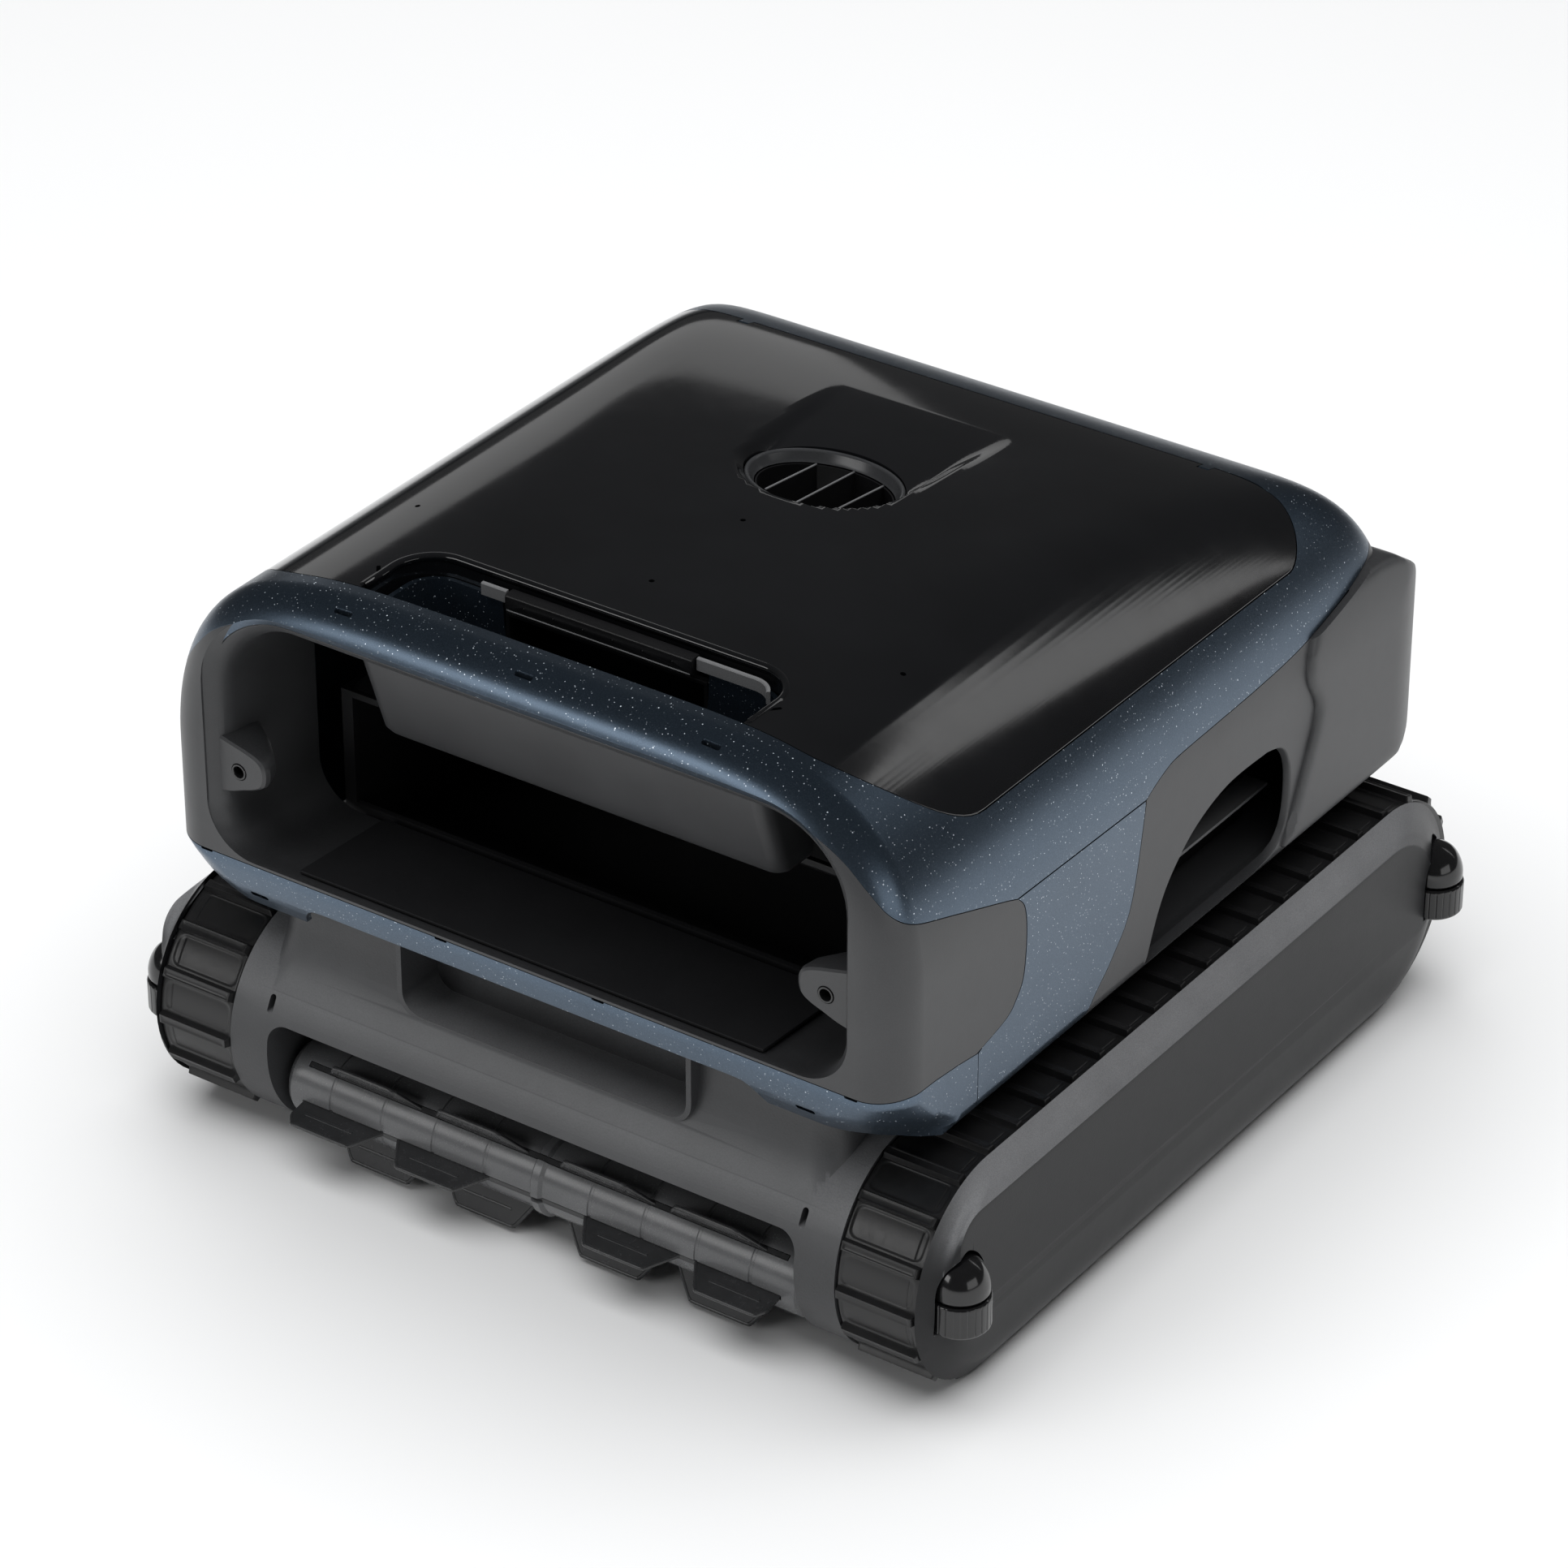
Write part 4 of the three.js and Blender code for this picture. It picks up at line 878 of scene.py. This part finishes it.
# ------ mouth duct
LUG_X, LUG_Z = 152, 192.5
cheek_region = shift(front_edge, 0, -GAP / 2)[::-1]
cheek_region += [(-230, 284), (-230, 151.4), (-218.5, 151.4), (-212, 152.2), (-206, 152.8), (-197, 153.0),
    (-188, 152.6), (-172, 151), (-158, 149)]
cheek_region += shift(cheek_edge[1:-1][::-1], 0, 0.1)
region = prism(cheek_region, "x", -300, 300)
duct = common(mouth_hole(2.6, -152), fuse(skin(WALL + 0.4), common(copy(skin0), region, keep=True)))
mouth = cut(fuse(common(copy(shell), region), duct), mouth_hole(0, -140))


def hanging(g):
    """Rounded box with a leaning front that hangs in the mouth; g shrinks it and opens it upwards."""
    rings = []
    for z in (268 + (16 if g else 0), 250, 232, 220, 214 + g, 211 + g, 209.4 + g, 208.6 + g):
        lean = -193.9 + (268 - min(z, 268)) / 59.4 * 20.5
        tuck = max(0, (214 + g - z)) / 5.4
        inset = g + 4.2 * tuck ** 2
        rear = -152 + (12 if g else 0)
        ring = round_rect(-104.5 + inset, 104.5 - inset, lean + inset, rear, [7, 7, 0.5, 0.5], 8)
        rings.append(level(ring, z))
    return loft(rings)


def lug(s):
    """Moulded lug with a soft pointed nose that carries the socket."""
    outline = spline([(171, 210), (158, 206.5), (146, 203.5), (139.5, 200.5), (137.3, 195.5), (138.4, 189),
        (143, 185.6), (150, 183), (158, 180), (171, 177)], 5)
    rings = []
    # from the front back: y, size, shift in x and z
    for y, k, dx, dz in ((-212.2, 0.9, 0.5, 0), (-211.2, 0.97, 0.2, 0), (-209, 1.0, 0, 0),
            (-203, 0.96, 1.2, 1.0), (-196, 0.78, 6.5, 4.0), (-189, 0.5, 14, 8), (-183, 0.2, 23, 11)):
        x0, z0 = LUG_X * (1 - k) + dx, LUG_Z * (1 - k) + dz
        rings.append([(s * (x0 + x * k), y, z0 + z * k) for x, z in outline])
    return loft(rings)


fuse(mouth, hanging(0))
cut(mouth, hanging(2.8))
for s in (-1, 1):
    fuse(mouth, common(lug(s), copy(skin0)))
    cut(mouth, rod("y", (s * LUG_X, -205, LUG_Z), 4.1, -10, 3.4, 32))
finish_skin(main_part(mouth), 30)
dress(mouth, "mouth_shell", "hull", "satin_grey", "mouth_duct")
SOCKET = [(0, -201.8), (4, -201.8), (4, -211.9), (3.6, -212.6), (2.9, -212.6), (2.5, -212.0), (2.4, -204),
    (0, -204)]
for side, s in SIDES:
    socket = turned(SOCKET, "y", (s * LUG_X, 0, LUG_Z), 40)
    shade(socket, 35)
    dress(socket, "socket_%s" % side, "hull", "roller_black", "lug_socket_%s" % side)
floor_plate = prism([(-212, 152.5), (-154, 149.1), (-154, 150.9), (-212, 154.1)], "x", -121, 121)
soften(floor_plate, 0.4)
dress(floor_plate, "mouth_floor", "hull", "dark_grey", "intake_floor")

# ------ rear hull
BULGE = spline([(84, 124), (102, 163), (109, 184), (100, 203), (106, 222), (125, 230), (160, 231.5),
    (178, 229), (190, 221), (204, 212.5), (214, 206), (222, 197), (227, 186), (227, 150), (221, 139),
    (205, 131), (188, 124)], 5)
BULGE_HALF, BULGE_REAR, BULGE_TOP = 193, 227, 245


def away(y, z, y0, z0, d):
    """The point (y, z) moved away from (y0, z0) by d."""
    r = math.hypot(y - y0, z - z0)
    return y + (y - y0) / r * d, z + (z - z0) / r * d


def bulge(off):
    """The body that stands out round the rear corners, shrunk by off."""
    half = BULGE_HALF - off
    section = [(-half, 110)]
    for k in range(-40, 41):
        x = half * math.copysign(1, k) * (1 - (1 - abs(k) / 40) ** 2.4)
        z = MID_Z + (95 - off) * math.sqrt(max(0, 1 - min(1, abs(x) / half) ** SIDE_P))
        section.append((x, min(z, BULGE_TOP)))
    section.append((half, 110))
    plan = round_rect(-half, half, 40, BULGE_REAR - off, [2, 2, 50 - off, 50 - off], 24)
    body = prism([away(y, z, 160, 170, -1.25 * off) for y, z in BULGE], "x", -250, 250)
    return common(body, prism(section, "y", 0, 260), prism(plan, "z", 100, 260))


WINDOW = spline([(70, 181), (84, 176), (91, 161), (89, 136), (76, 124.5), (58, 121.6)])[:-1]
WINDOW += [(58, 121.6), (15, 121.6), (-27, 121.6)]
WINDOW += spline([(-27, 121.6), (-17.7, 144), (-6.8, 159), (12, 173), (38, 181), (70, 181)])[1:-1]


def window_ring(x, g):
    """The side window's outline at x, grown by g."""
    moved = [away(y, z, 36, 148, g) for y, z in WINDOW]
    return [(x, y, max(120.4, z)) for y, z in moved]


outer = bulge(0)
remesh = outer.modifiers.new("even", "REMESH")
remesh.mode = "VOXEL"
remesh.voxel_size = 0.0017
settle(outer)
smooth = outer.modifiers.new("round", "SMOOTH")
smooth.factor = 0.5
smooth.iterations = 22
settle(outer)
hull_region = shift(rear_edge, 0, -GAP / 2)[::-1] + shift(surround_edge[1:], 0.1, 0) + [(200, 112)]
hull = common(copy(skin0), prism(hull_region, "x", -300, 300))
fuse(hull, outer)
cut(hull, common(copy(skin1), box(-FAR, FAR, -FAR, 200, 0, FAR)), bulge(WALL))
# the window's rounded rim: x, growth
RIM_X = ((168, -1.6), (184, -1.6), (187.2, -1.4), (189.2, -0.7), (190.3, 0.5), (191.2, 2.2), (194, 6.0))
for s in (-1, 1):
    rings = [window_ring(x, g) for x, g in RIM_X]
    cut(hull, loft([[(s * x, y, z) for x, y, z in ring] for ring in rings]))
frame_clear = prism(shift(rear_edge, 0, -GAP / 2) + [(190, 320), (-30, 320)], "x", -300, 300)
cut(hull, common(frame_clear, box(-300, 300, -40, 180.2, 100, FAR)))
fuse(hull, box(-176, 176, -150, -20, 116.2, 119))
finish_skin(main_part(hull), 52)
dress(hull, "rear_hull_shell", "hull", "satin_grey", "rear_hull")

# ------ chassis
FRONT_WHEEL_Y, REAR_WHEEL_Y, WHEEL_Z = -165.8, 168.5, 53.9
BRUSH = (0, -191.5, 33.5)
NOSE_R = 51.8
nose = [math.radians(238 - k * 2.1) for k in range(77)]
profile = [(FRONT_WHEEL_Y + NOSE_R * math.cos(t), WHEEL_Z + NOSE_R * math.sin(t)) for t in nose]
profile += [(205, 115.6), (210, 110), (214, 100), (214, 40), (205, 24), (190, 15), (-148, 15)]
chassis = prism(profile, "x", -160.5, 160.5)
# front wall, from its foot up: height, front, half width
rings = []
for z, y, half in ((80, -209, 157), (84, -208.2, 156), (88, -205.6, 153.8), (92, -203.2, 152),
        (96, -201.2, 150.8),
        (101, -199.2, 149.8), (107, -197.5, 149), (114, -196.2, 148.6), (136.6, -195.2, 148.4)):
    rings.append(level(round_rect(-half, half, y, -164, [15, 15, 1, 1], 12), z))
fuse(chassis, loft(rings))
cut(chassis, prism(round_rect(-140, 140, -20, 71, [1, 1, 9, 9], 8), "y", -240, -206))
cut(chassis, rod("x", BRUSH, 35, -140, 140, 72),
    prism([(-240, -20), (-240, 60), (-206, 60), (-196, 60), (-160, 40), (-157, -20)], "x", -140, 140))
recess = prism(round_rect(-75, 75, 94.5, 131, [10, 10, 1, 1], 10), "y", -240, -178)
cut(chassis, recess, keep=True)
rim = prism(round_rect(-77.6, 77.6, 92.6, 133, [12, 12, 1, 1], 10), "y", -202.6, -193)
fuse(chassis, cut(rim, recess))
cut(chassis, box(-150, 150, -146, 196, 18, 109), box(-150, 150, -140, 190, 0, 30))
for s in (-1, 1):
    cut(chassis, slot_tool(s * 141, 1.5, 74, 82, "y", -230, -204, 1.4))
    groove = [(-230, 44.6), (-217.0, 45.0), (-217.0, 45.3), (-230, 44.9)]
    cut(chassis, prism(groove, "x", *sorted((s * 140.8, s * 160.4))))
for y in (FRONT_WHEEL_Y, REAR_WHEEL_Y):
    axle = (0, y, WHEEL_Z)
    cut(chassis, rod("x", axle, 6.3, 142, 180), rod("x", axle, 6.3, -180, -142))
cut(chassis, rod("x", BRUSH, 5.3, -152, 152))
soften(main_part(chassis), 0.8, 3, 32, 34)
dress(chassis, "chassis_shell", "hull", "grained_grey", "chassis")

# ------ tracks
STRAIGHT = REAR_WHEEL_Y - FRONT_WHEEL_Y
PITCH_R, INNER_R, PADS = 50.9, 46.4, 46
ARC = math.pi * PITCH_R
LOOP = 2 * STRAIGHT + 2 * ARC
PITCH = LOOP / PADS
# The tread's section is drawn 39 wide and stretched to the belt's width.
BELT_X, BELT_W, TREAD_W = 161, 40, 39


def on_track(d, r):
    """Point (y, z) at the distance d along the track, at the radius r round its wheels."""
    s = d % LOOP
    if s < STRAIGHT:
        return FRONT_WHEEL_Y + s, WHEEL_Z + r
    if s < STRAIGHT + ARC:
        a = (s - STRAIGHT) / PITCH_R
        return REAR_WHEEL_Y + r * math.sin(a), WHEEL_Z + r * math.cos(a)
    if s < 2 * STRAIGHT + ARC:
        return REAR_WHEEL_Y - (s - STRAIGHT - ARC), WHEEL_Z - r
    a = (s - 2 * STRAIGHT - ARC) / PITCH_R
    return FRONT_WHEEL_Y - r * math.sin(a), WHEEL_Z - r * math.cos(a)


def step(a, b, v):
    t = min(1.0, max(0.0, (v - a) / (b - a)))
    return t * t * (3 - 2 * t)


def hill(v, a, b, c, d):
    """1 between b and c, 0 outside a and d."""
    return step(a, b, v) * (1 - step(c, d, v))


def tread(u, w):
    """Radius of the tread: u along one pitch, w across from the inner to the outer edge."""
    rib = hill(u, 0.0, 0.8, 4.7, 5.5) * hill(w, 0.5, 1.5, 37.3, 38.5)
    groove = hill(u, 1.2, 1.8, 3.7, 4.3) * hill(w, 2, 3, 35.8, 36.8)
    # distance to a pad with rounded corners
    corner_r = 4.0
    px, py = abs(u - 13.7) - (7.3 - corner_r), abs(w - 19.0) - (17.6 - corner_r)
    pad = 1 - step(-0.8, 0.1, math.hypot(max(0, px), max(0, py)) + min(0, max(px, py)) - corner_r)
    seam = max(0.0, 1 - abs(w - 33.4) / 0.3) * hill(u, 7.0, 7.6, 19.6, 20.2)
    edge = 1 - step(0, 0.7, w) + step(38.3, TREAD_W, w)
    return PITCH_R + 3.0 * rib - 0.4 * groove - 0.5 * pad - 0.22 * seam - 0.5 * edge


# where the tread is sampled: close together at its edges, far apart on its flats
ACROSS = [0, 0.25, 0.6, 1.0, 1.4, 1.8, 2.2, 2.6, 3.2, 4.2, 5.4, 8, 12, 16, 20, 24, 28, 31, 32.6, 33.1, 33.4,
    33.7, 34.2, 35.0, 35.6, 36.2, 36.6, 37.0, 37.5, 38.0, 38.4, 38.75, 39.0]
ALONG = [0, 0.25, 0.5, 0.8, 1.2, 1.5, 1.8, 2.7, 3.7, 4.0, 4.3, 4.7, 5.0, 5.25, 5.5, 6.1, 6.5, 6.9, 7.4, 8.1,
    8.9, 9.9, 11.2, 12.6, 14.2, 15.8, 17.2, 18.3, 19.1, 19.8, 20.4, 20.8, 21.1]
rings = []
for k in range(PADS):
    for u in ALONG:
        d = k * PITCH + 0.12 * PITCH + u
        ring = [(w, tread(u, w)) for w in ACROSS] + [(w, INNER_R) for w in (38.6, 25.0, 12.0, 0.4)]
        rings.append([(BELT_X + w * BELT_W / TREAD_W, *on_track(d, r)) for w, r in ring])
belt = loft(rings, True)
shade(belt, 50)
dress_pair(belt, "track_belt", "track_rubber", "track")

# ------ side covers and their rollers
# Outlines from the belt outwards: x, front, rear, bottom, top, corner radii.
COVER_OUT = [
    (201.4, -219.1, 214.4, 2.4, 107.6, 52.6, 52.6, 52.6, 52.6),
    (203.4, -214.6, 208.6, 5.4, 105.2, 49.9, 49.9, 48, 48),
    (206, -209.4, 202.4, 9.4, 102.2, 46, 46, 44, 40),
    (208.5, -205.6, 197, 14, 99.3, 41, 41, 42, 29),
    (210, -203.4, 193.4, 22, 97.4, 33, 33, 41, 21),
    (211.4, -201, 190, 38.5, 95.6, 14, 14, 40, 15)]
COVER_IN = [
    (199, -216, 211.2, 5.6, 104.6, 49.4, 49.4, 49.4, 49.4),
    (201.5, -216, 211.2, 5.6, 104.6, 49.4, 49.4, 49.4, 49.4),
    (203.7, -209.8, 203, 11.4, 100.8, 43.6, 43.6, 43, 39),
    (206.3, -204.6, 196, 18.5, 97, 36, 36, 40, 27),
    (208.8, -199, 188.4, 37.6, 93.2, 13, 13, 38, 14)]
ROLLER_X, ROLLER_Y, ROLLER_R, ROLLER_LOW, ROLLER_TOP = 208.4, 196.0, 13.6, 44, 59.4


def cover_ring(row):
    x, front, rear, bottom, top, *radii = row
    return [(x, y, z) for y, z in round_rect(front, rear, bottom, top, radii, 16)]


rings = [cover_ring(COVER_OUT[0])]
last = len(COVER_OUT) - 2
for i in range(last + 1):
    start, end = COVER_OUT[i], COVER_OUT[i + 1]
    before = start if i in (0, last) else COVER_OUT[i - 1]
    after = end if i == last else COVER_OUT[i + 2]
    rings += [cover_ring(between(before, start, end, after, k / 4)) for k in range(1, 5)]
# the flat face, as ever smaller outlines
x, front, rear, bottom, top, *radii = COVER_OUT[-1]
for dx, g in ((0.06, 0.5), (0.12, 1.6), (0.14, 4.0), (0.14, 9.0)):
    rings.append(cover_ring((x + dx, front + g, rear - g, bottom + g, top - g, *[r - g for r in radii])))
solid_cover = loft(rings)
cover = cut(copy(solid_cover), loft([cover_ring(row) for row in COVER_IN]))
APEX = spline([(ROLLER_R + 1, 59), (ROLLER_R + 1, 62), (13.9, 66.5), (11.6, 71.5), (8.6, 75.8), (5.2, 79),
    (2.2, 81.4)], 4)
for s in (-1, 1):
    block = box(201.4, 212, -218 if s < 0 else 176, -176 if s < 0 else 214, 36, 86)
    fuse(cover, common(block, solid_cover, keep=True))
    c = (ROLLER_X, s * ROLLER_Y, 0)
    cut(cover, rod("z", c, ROLLER_R + 1, ROLLER_LOW - 0.6, ROLLER_TOP, 72))
    cut(cover, turned([(0, 59)] + APEX + [(0, 82.4)], "z", c, 72))
drop(solid_cover)
soften(main_part(cover), 0.4, 2, 44, 30)
dress_pair(cover, "side_cover_shell", "cover_grey", "side_cover")

CAP = [(0, 43.7), (2.6, 43.7), (3, 44.1), (3, 59.9), (11.9, 59.9), (12.5, 60.3)]
CAP += spline([(12.85, 61.2), (12.9, 62.2), (12.7, 65.2), (11.7, 68.9), (9.8, 72.6), (7.4, 75.2), (4.4, 76.8),
    (1.6, 77.35)], 5) + [(0, 77.4)]
RIBS, RIB_STEPS = 26, 8


def guide_roller(c):
    """Roller with rounded ends and fine upright grooves."""
    rings = []
    for z in (ROLLER_LOW, 44.3, 44.8, 45.4, 46.2, 52.0, 57.4, 58.2, 58.7, 59.1, ROLLER_TOP):
        rounding = 0.9 * max(0, 1 - min(z - ROLLER_LOW, ROLLER_TOP - z) / 1.2) ** 2
        ring = []
        for k in range(RIBS * RIB_STEPS):
            a = 2 * math.pi * k / (RIBS * RIB_STEPS)
            r = ROLLER_R - rounding - (0.22 if k % RIB_STEPS == 0 and 44.6 < z < 58.9 else 0)
            ring.append((c[0] + r * math.cos(a), c[1] + r * math.sin(a), z))
        rings.append(ring)
    return shade(cut(loft(rings), rod("z", c, 3.08, 40, 70, 40)), 30)


for side, s in SIDES:
    for end, e in (("front", -1), ("rear", 1)):
        c = (s * ROLLER_X, e * ROLLER_Y, 0)
        where = "%s_%s" % (end, side)
        cap = shade(turned(CAP, "z", c, 80), 50)
        dress(cap, "roller_dome_" + where, "hull", "roller_black", "roller_cap_" + where)
        dress(guide_roller(c), "guide_wheel_" + where, "roller_" + where, "track_rubber",
            "guide_roller_" + where, mat="roller_black")

# ------ roller brush
CORE_R, CORE_END = 18, 137.5
GROOVE_X = (28, 56, 84, 112)


def groove(x):
    return [(CORE_R, x - 1.0), (CORE_R - 0.45, x - 0.6), (CORE_R - 0.45, x + 0.6), (CORE_R, x + 1.0)]


core_profile = [(0, -CORE_END), (15.4, -CORE_END), (16.2, -CORE_END + 0.5), (CORE_R, -CORE_END + 3)]
for x in reversed(GROOVE_X):
    core_profile += groove(-x)
core_profile += [(CORE_R, -3.2), (19.0, -2.4), (19.6, -1.8), (19.6, 1.8), (19.0, 2.4), (CORE_R, 3.2)]
for x in GROOVE_X:
    core_profile += groove(x)
core_profile += [(CORE_R, CORE_END - 3), (16.2, CORE_END - 0.5), (15.4, CORE_END), (0, CORE_END)]
core = turned(core_profile, "x", BRUSH, 96)
fuse(core, rod("x", BRUSH, 5.2, -150, 150))


def on_brush(ob, k):
    """Turns a strip that was made upright to the brush's row k."""
    ob.data.transform(Matrix.Rotation(math.radians(-20 + k * 60), 4, "X"))
    ob.data.transform(Matrix.Translation(Vector(BRUSH) * MM))
    return ob


def paddle(x0, s):
    """Blade with a round bead along its free edge and a stiffening line across it."""
    half = [(12.7, 31.6), (15.1, 31.0), (16.9, 29.2), (23.9, 18.4), (25.5, 16)]
    edge = [(s * (x0 + 14.5 + x), z) for x, z in spline(mirrored(half), 4)]
    blade = prism(edge, "y", -0.7, 0.7)
    fuse(blade, sweep([(x, 0, z) for x, z in edge], 1.0, 12))
    return fuse(blade, sweep([(s * (x0 + 1.5 + 2.6 * t), 0, 24.2) for t in range(11)], 1.05))


for k in range(6):
    cut(core, on_brush(box(-CORE_END + 9.6, CORE_END - 9.6, -1.4, 1.4, 14, 26), k))
shade(core, 35)
dress(core, "brush_barrel", "brush", "light_grey", "brush_core", mat="brush_grey")
ROW_END = CORE_END - 10
for k in range(6):
    # every second row sits further out
    move = 17 if k % 2 == 0 else 0
    row = box(-ROW_END, ROW_END, -1.1, 1.1, 14.4, 18)
    for s in (-1, 1):
        for x0 in (19 + move, 77 + move):
            fuse(row, common(paddle(x0, s), box(*sorted((s * 5, s * ROW_END)), -5, 5, 0, 60)))
    shade(row, 40)
    dress(on_brush(row, k), "paddle_strip_%d" % (k + 1), "brush", "paddle_rubber", "paddle_row_%d" % (k + 1))

# ------ inner parts, shown by their CAD nodes
for ob in (skin0, skin1, shell):
    drop(ob)
FINISH = {
    "steel": ("lid_hinge_pin", "pump_motor", "drive_motor", "front_axle", "rear_axle"),
    "light_grey": ("impeller", "window_slat"),
    "cell_blue": ("battery_pack",),
    "satin_black": ("core_housing",),
    "dark_grey": ("debris_basket", "bottom_plate", "control_box", "idler_wheel", "drive_wheel"),
}
for node_name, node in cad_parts.items():
    if node_name not in replaced_nodes:
        finish = next(look for look, starts in FINISH.items() if node_name.startswith(starts))
        node.data.materials.clear()
        node.data.materials.append(M[finish])

# ------ studio (in metres)
# The floor is pale round the cleaner and dark far away, where the lid's left shoulder mirrors it.
floor_look = Look("studio_floor")
length = floor_look.node("VectorMath")
length.operation = "LENGTH"
floor_look.feed(length.inputs[0], floor_look.place)
pale = floor_look.mix(floor_look.noise(1.5, 2.0), (0.88, 0.885, 0.89), (0.9, 0.905, 0.91))
far_off = floor_look.span(length.outputs["Value"], 1.35, 2.6, 0, 1, True)
floor_look.set(Base_Color=floor_look.mix(far_off, pale, (0.16, 0.165, 0.17)), Roughness=0.9,
    Specular_IOR_Level=0.1)
floor_mesh = bpy.data.meshes.new("studio_floor")
floor_mesh.from_pydata([(-12, -12, 0), (12, -12, 0), (12, 12, 0), (-12, 12, 0)], [], [(0, 1, 2, 3)])
floor_mesh.materials.append(floor_look.mat)
add("studio_floor", floor_mesh)


def area_light(name, loc, target, size_x, size_y, watts):
    data = bpy.data.lights.new(name, "AREA")
    data.shape = "RECTANGLE"
    data.size = size_x
    data.size_y = size_y
    data.energy = watts
    ob = add(name, data)
    ob.location = loc
    ob.rotation_euler = (Vector(target) - Vector(loc)).to_track_quat("-Z", "Y").to_euler()
    return ob


fill = area_light("dome_fill", (0.0, 0.0, 3.0), (0, 0, 0), 4.5, 4.5, 165)
fill.visible_glossy = False
# crescent of light behind the cleaner, for the lid's right shoulder: height, left edge, right edge
CRESCENT = [(0.5, 1.53, 1.56), (0.82, 1.48, 1.59), (1.12, 1.36, 1.56), (1.4, 1.2, 1.49), (1.68, 0.9, 1.35),
    (1.92, 0.58, 1.2), (2.12, 0.03, 0.9), (2.24, -0.1, 0.5)]
CRESCENT_Y, STRIP_H, WATTS_PER_M2 = 1.8, 0.08, 5.0
for i in range(21):
    height = 0.54 + STRIP_H * i
    below, over = next(pair for pair in zip(CRESCENT, CRESCENT[1:]) if height <= pair[1][0])
    t = (height - below[0]) / (over[0] - below[0])
    left, right = (below[j] + (over[j] - below[j]) * t for j in (1, 2))
    middle, width = (left + right) / 2, right - left
    area_light("shoulder_strip_%d" % (i + 1), (middle, CRESCENT_Y, height), (middle, 0, height), width,
        STRIP_H + 0.001, WATTS_PER_M2 * width * STRIP_H)
area_light("softbox_right", (2.6, -0.5, 0.55), (0, -0.1, 0.1), 1.9, 0.8, 6)
area_light("softbox_front", (-1.2, -2.6, 1.2), (0, 0, 0.1), 1.6, 0.9, 14)
area_light("softbox_left", (-2.35, 2.6, 1.1), (0, 0, 0.3), 1.5, 0.9, 2.2)

world = bpy.data.worlds.new("studio_world")
bpy.context.scene.world = world
world.use_nodes = True
background = world.node_tree.nodes["Background"]
background.inputs[0].default_value = (1, 1, 1, 1)
background.inputs[1].default_value = 0.06
bpy.context.scene.view_settings.view_transform = "Standard"

# ------ camera
AZIMUTH, ELEVATION = math.radians(34.89), math.radians(31.15)
cam_data = bpy.data.cameras.new("camera")
cam_data.sensor_width = 36
cam_data.lens = 140.63
cam_data.clip_start = 0.05
cam_data.clip_end = 60
camera = add("camera", cam_data)
camera.location = (1.3198, -1.9162, 1.5402)
camera.rotation_euler = (math.pi / 2 - ELEVATION, 0, AZIMUTH)
bpy.context.scene.camera = camera
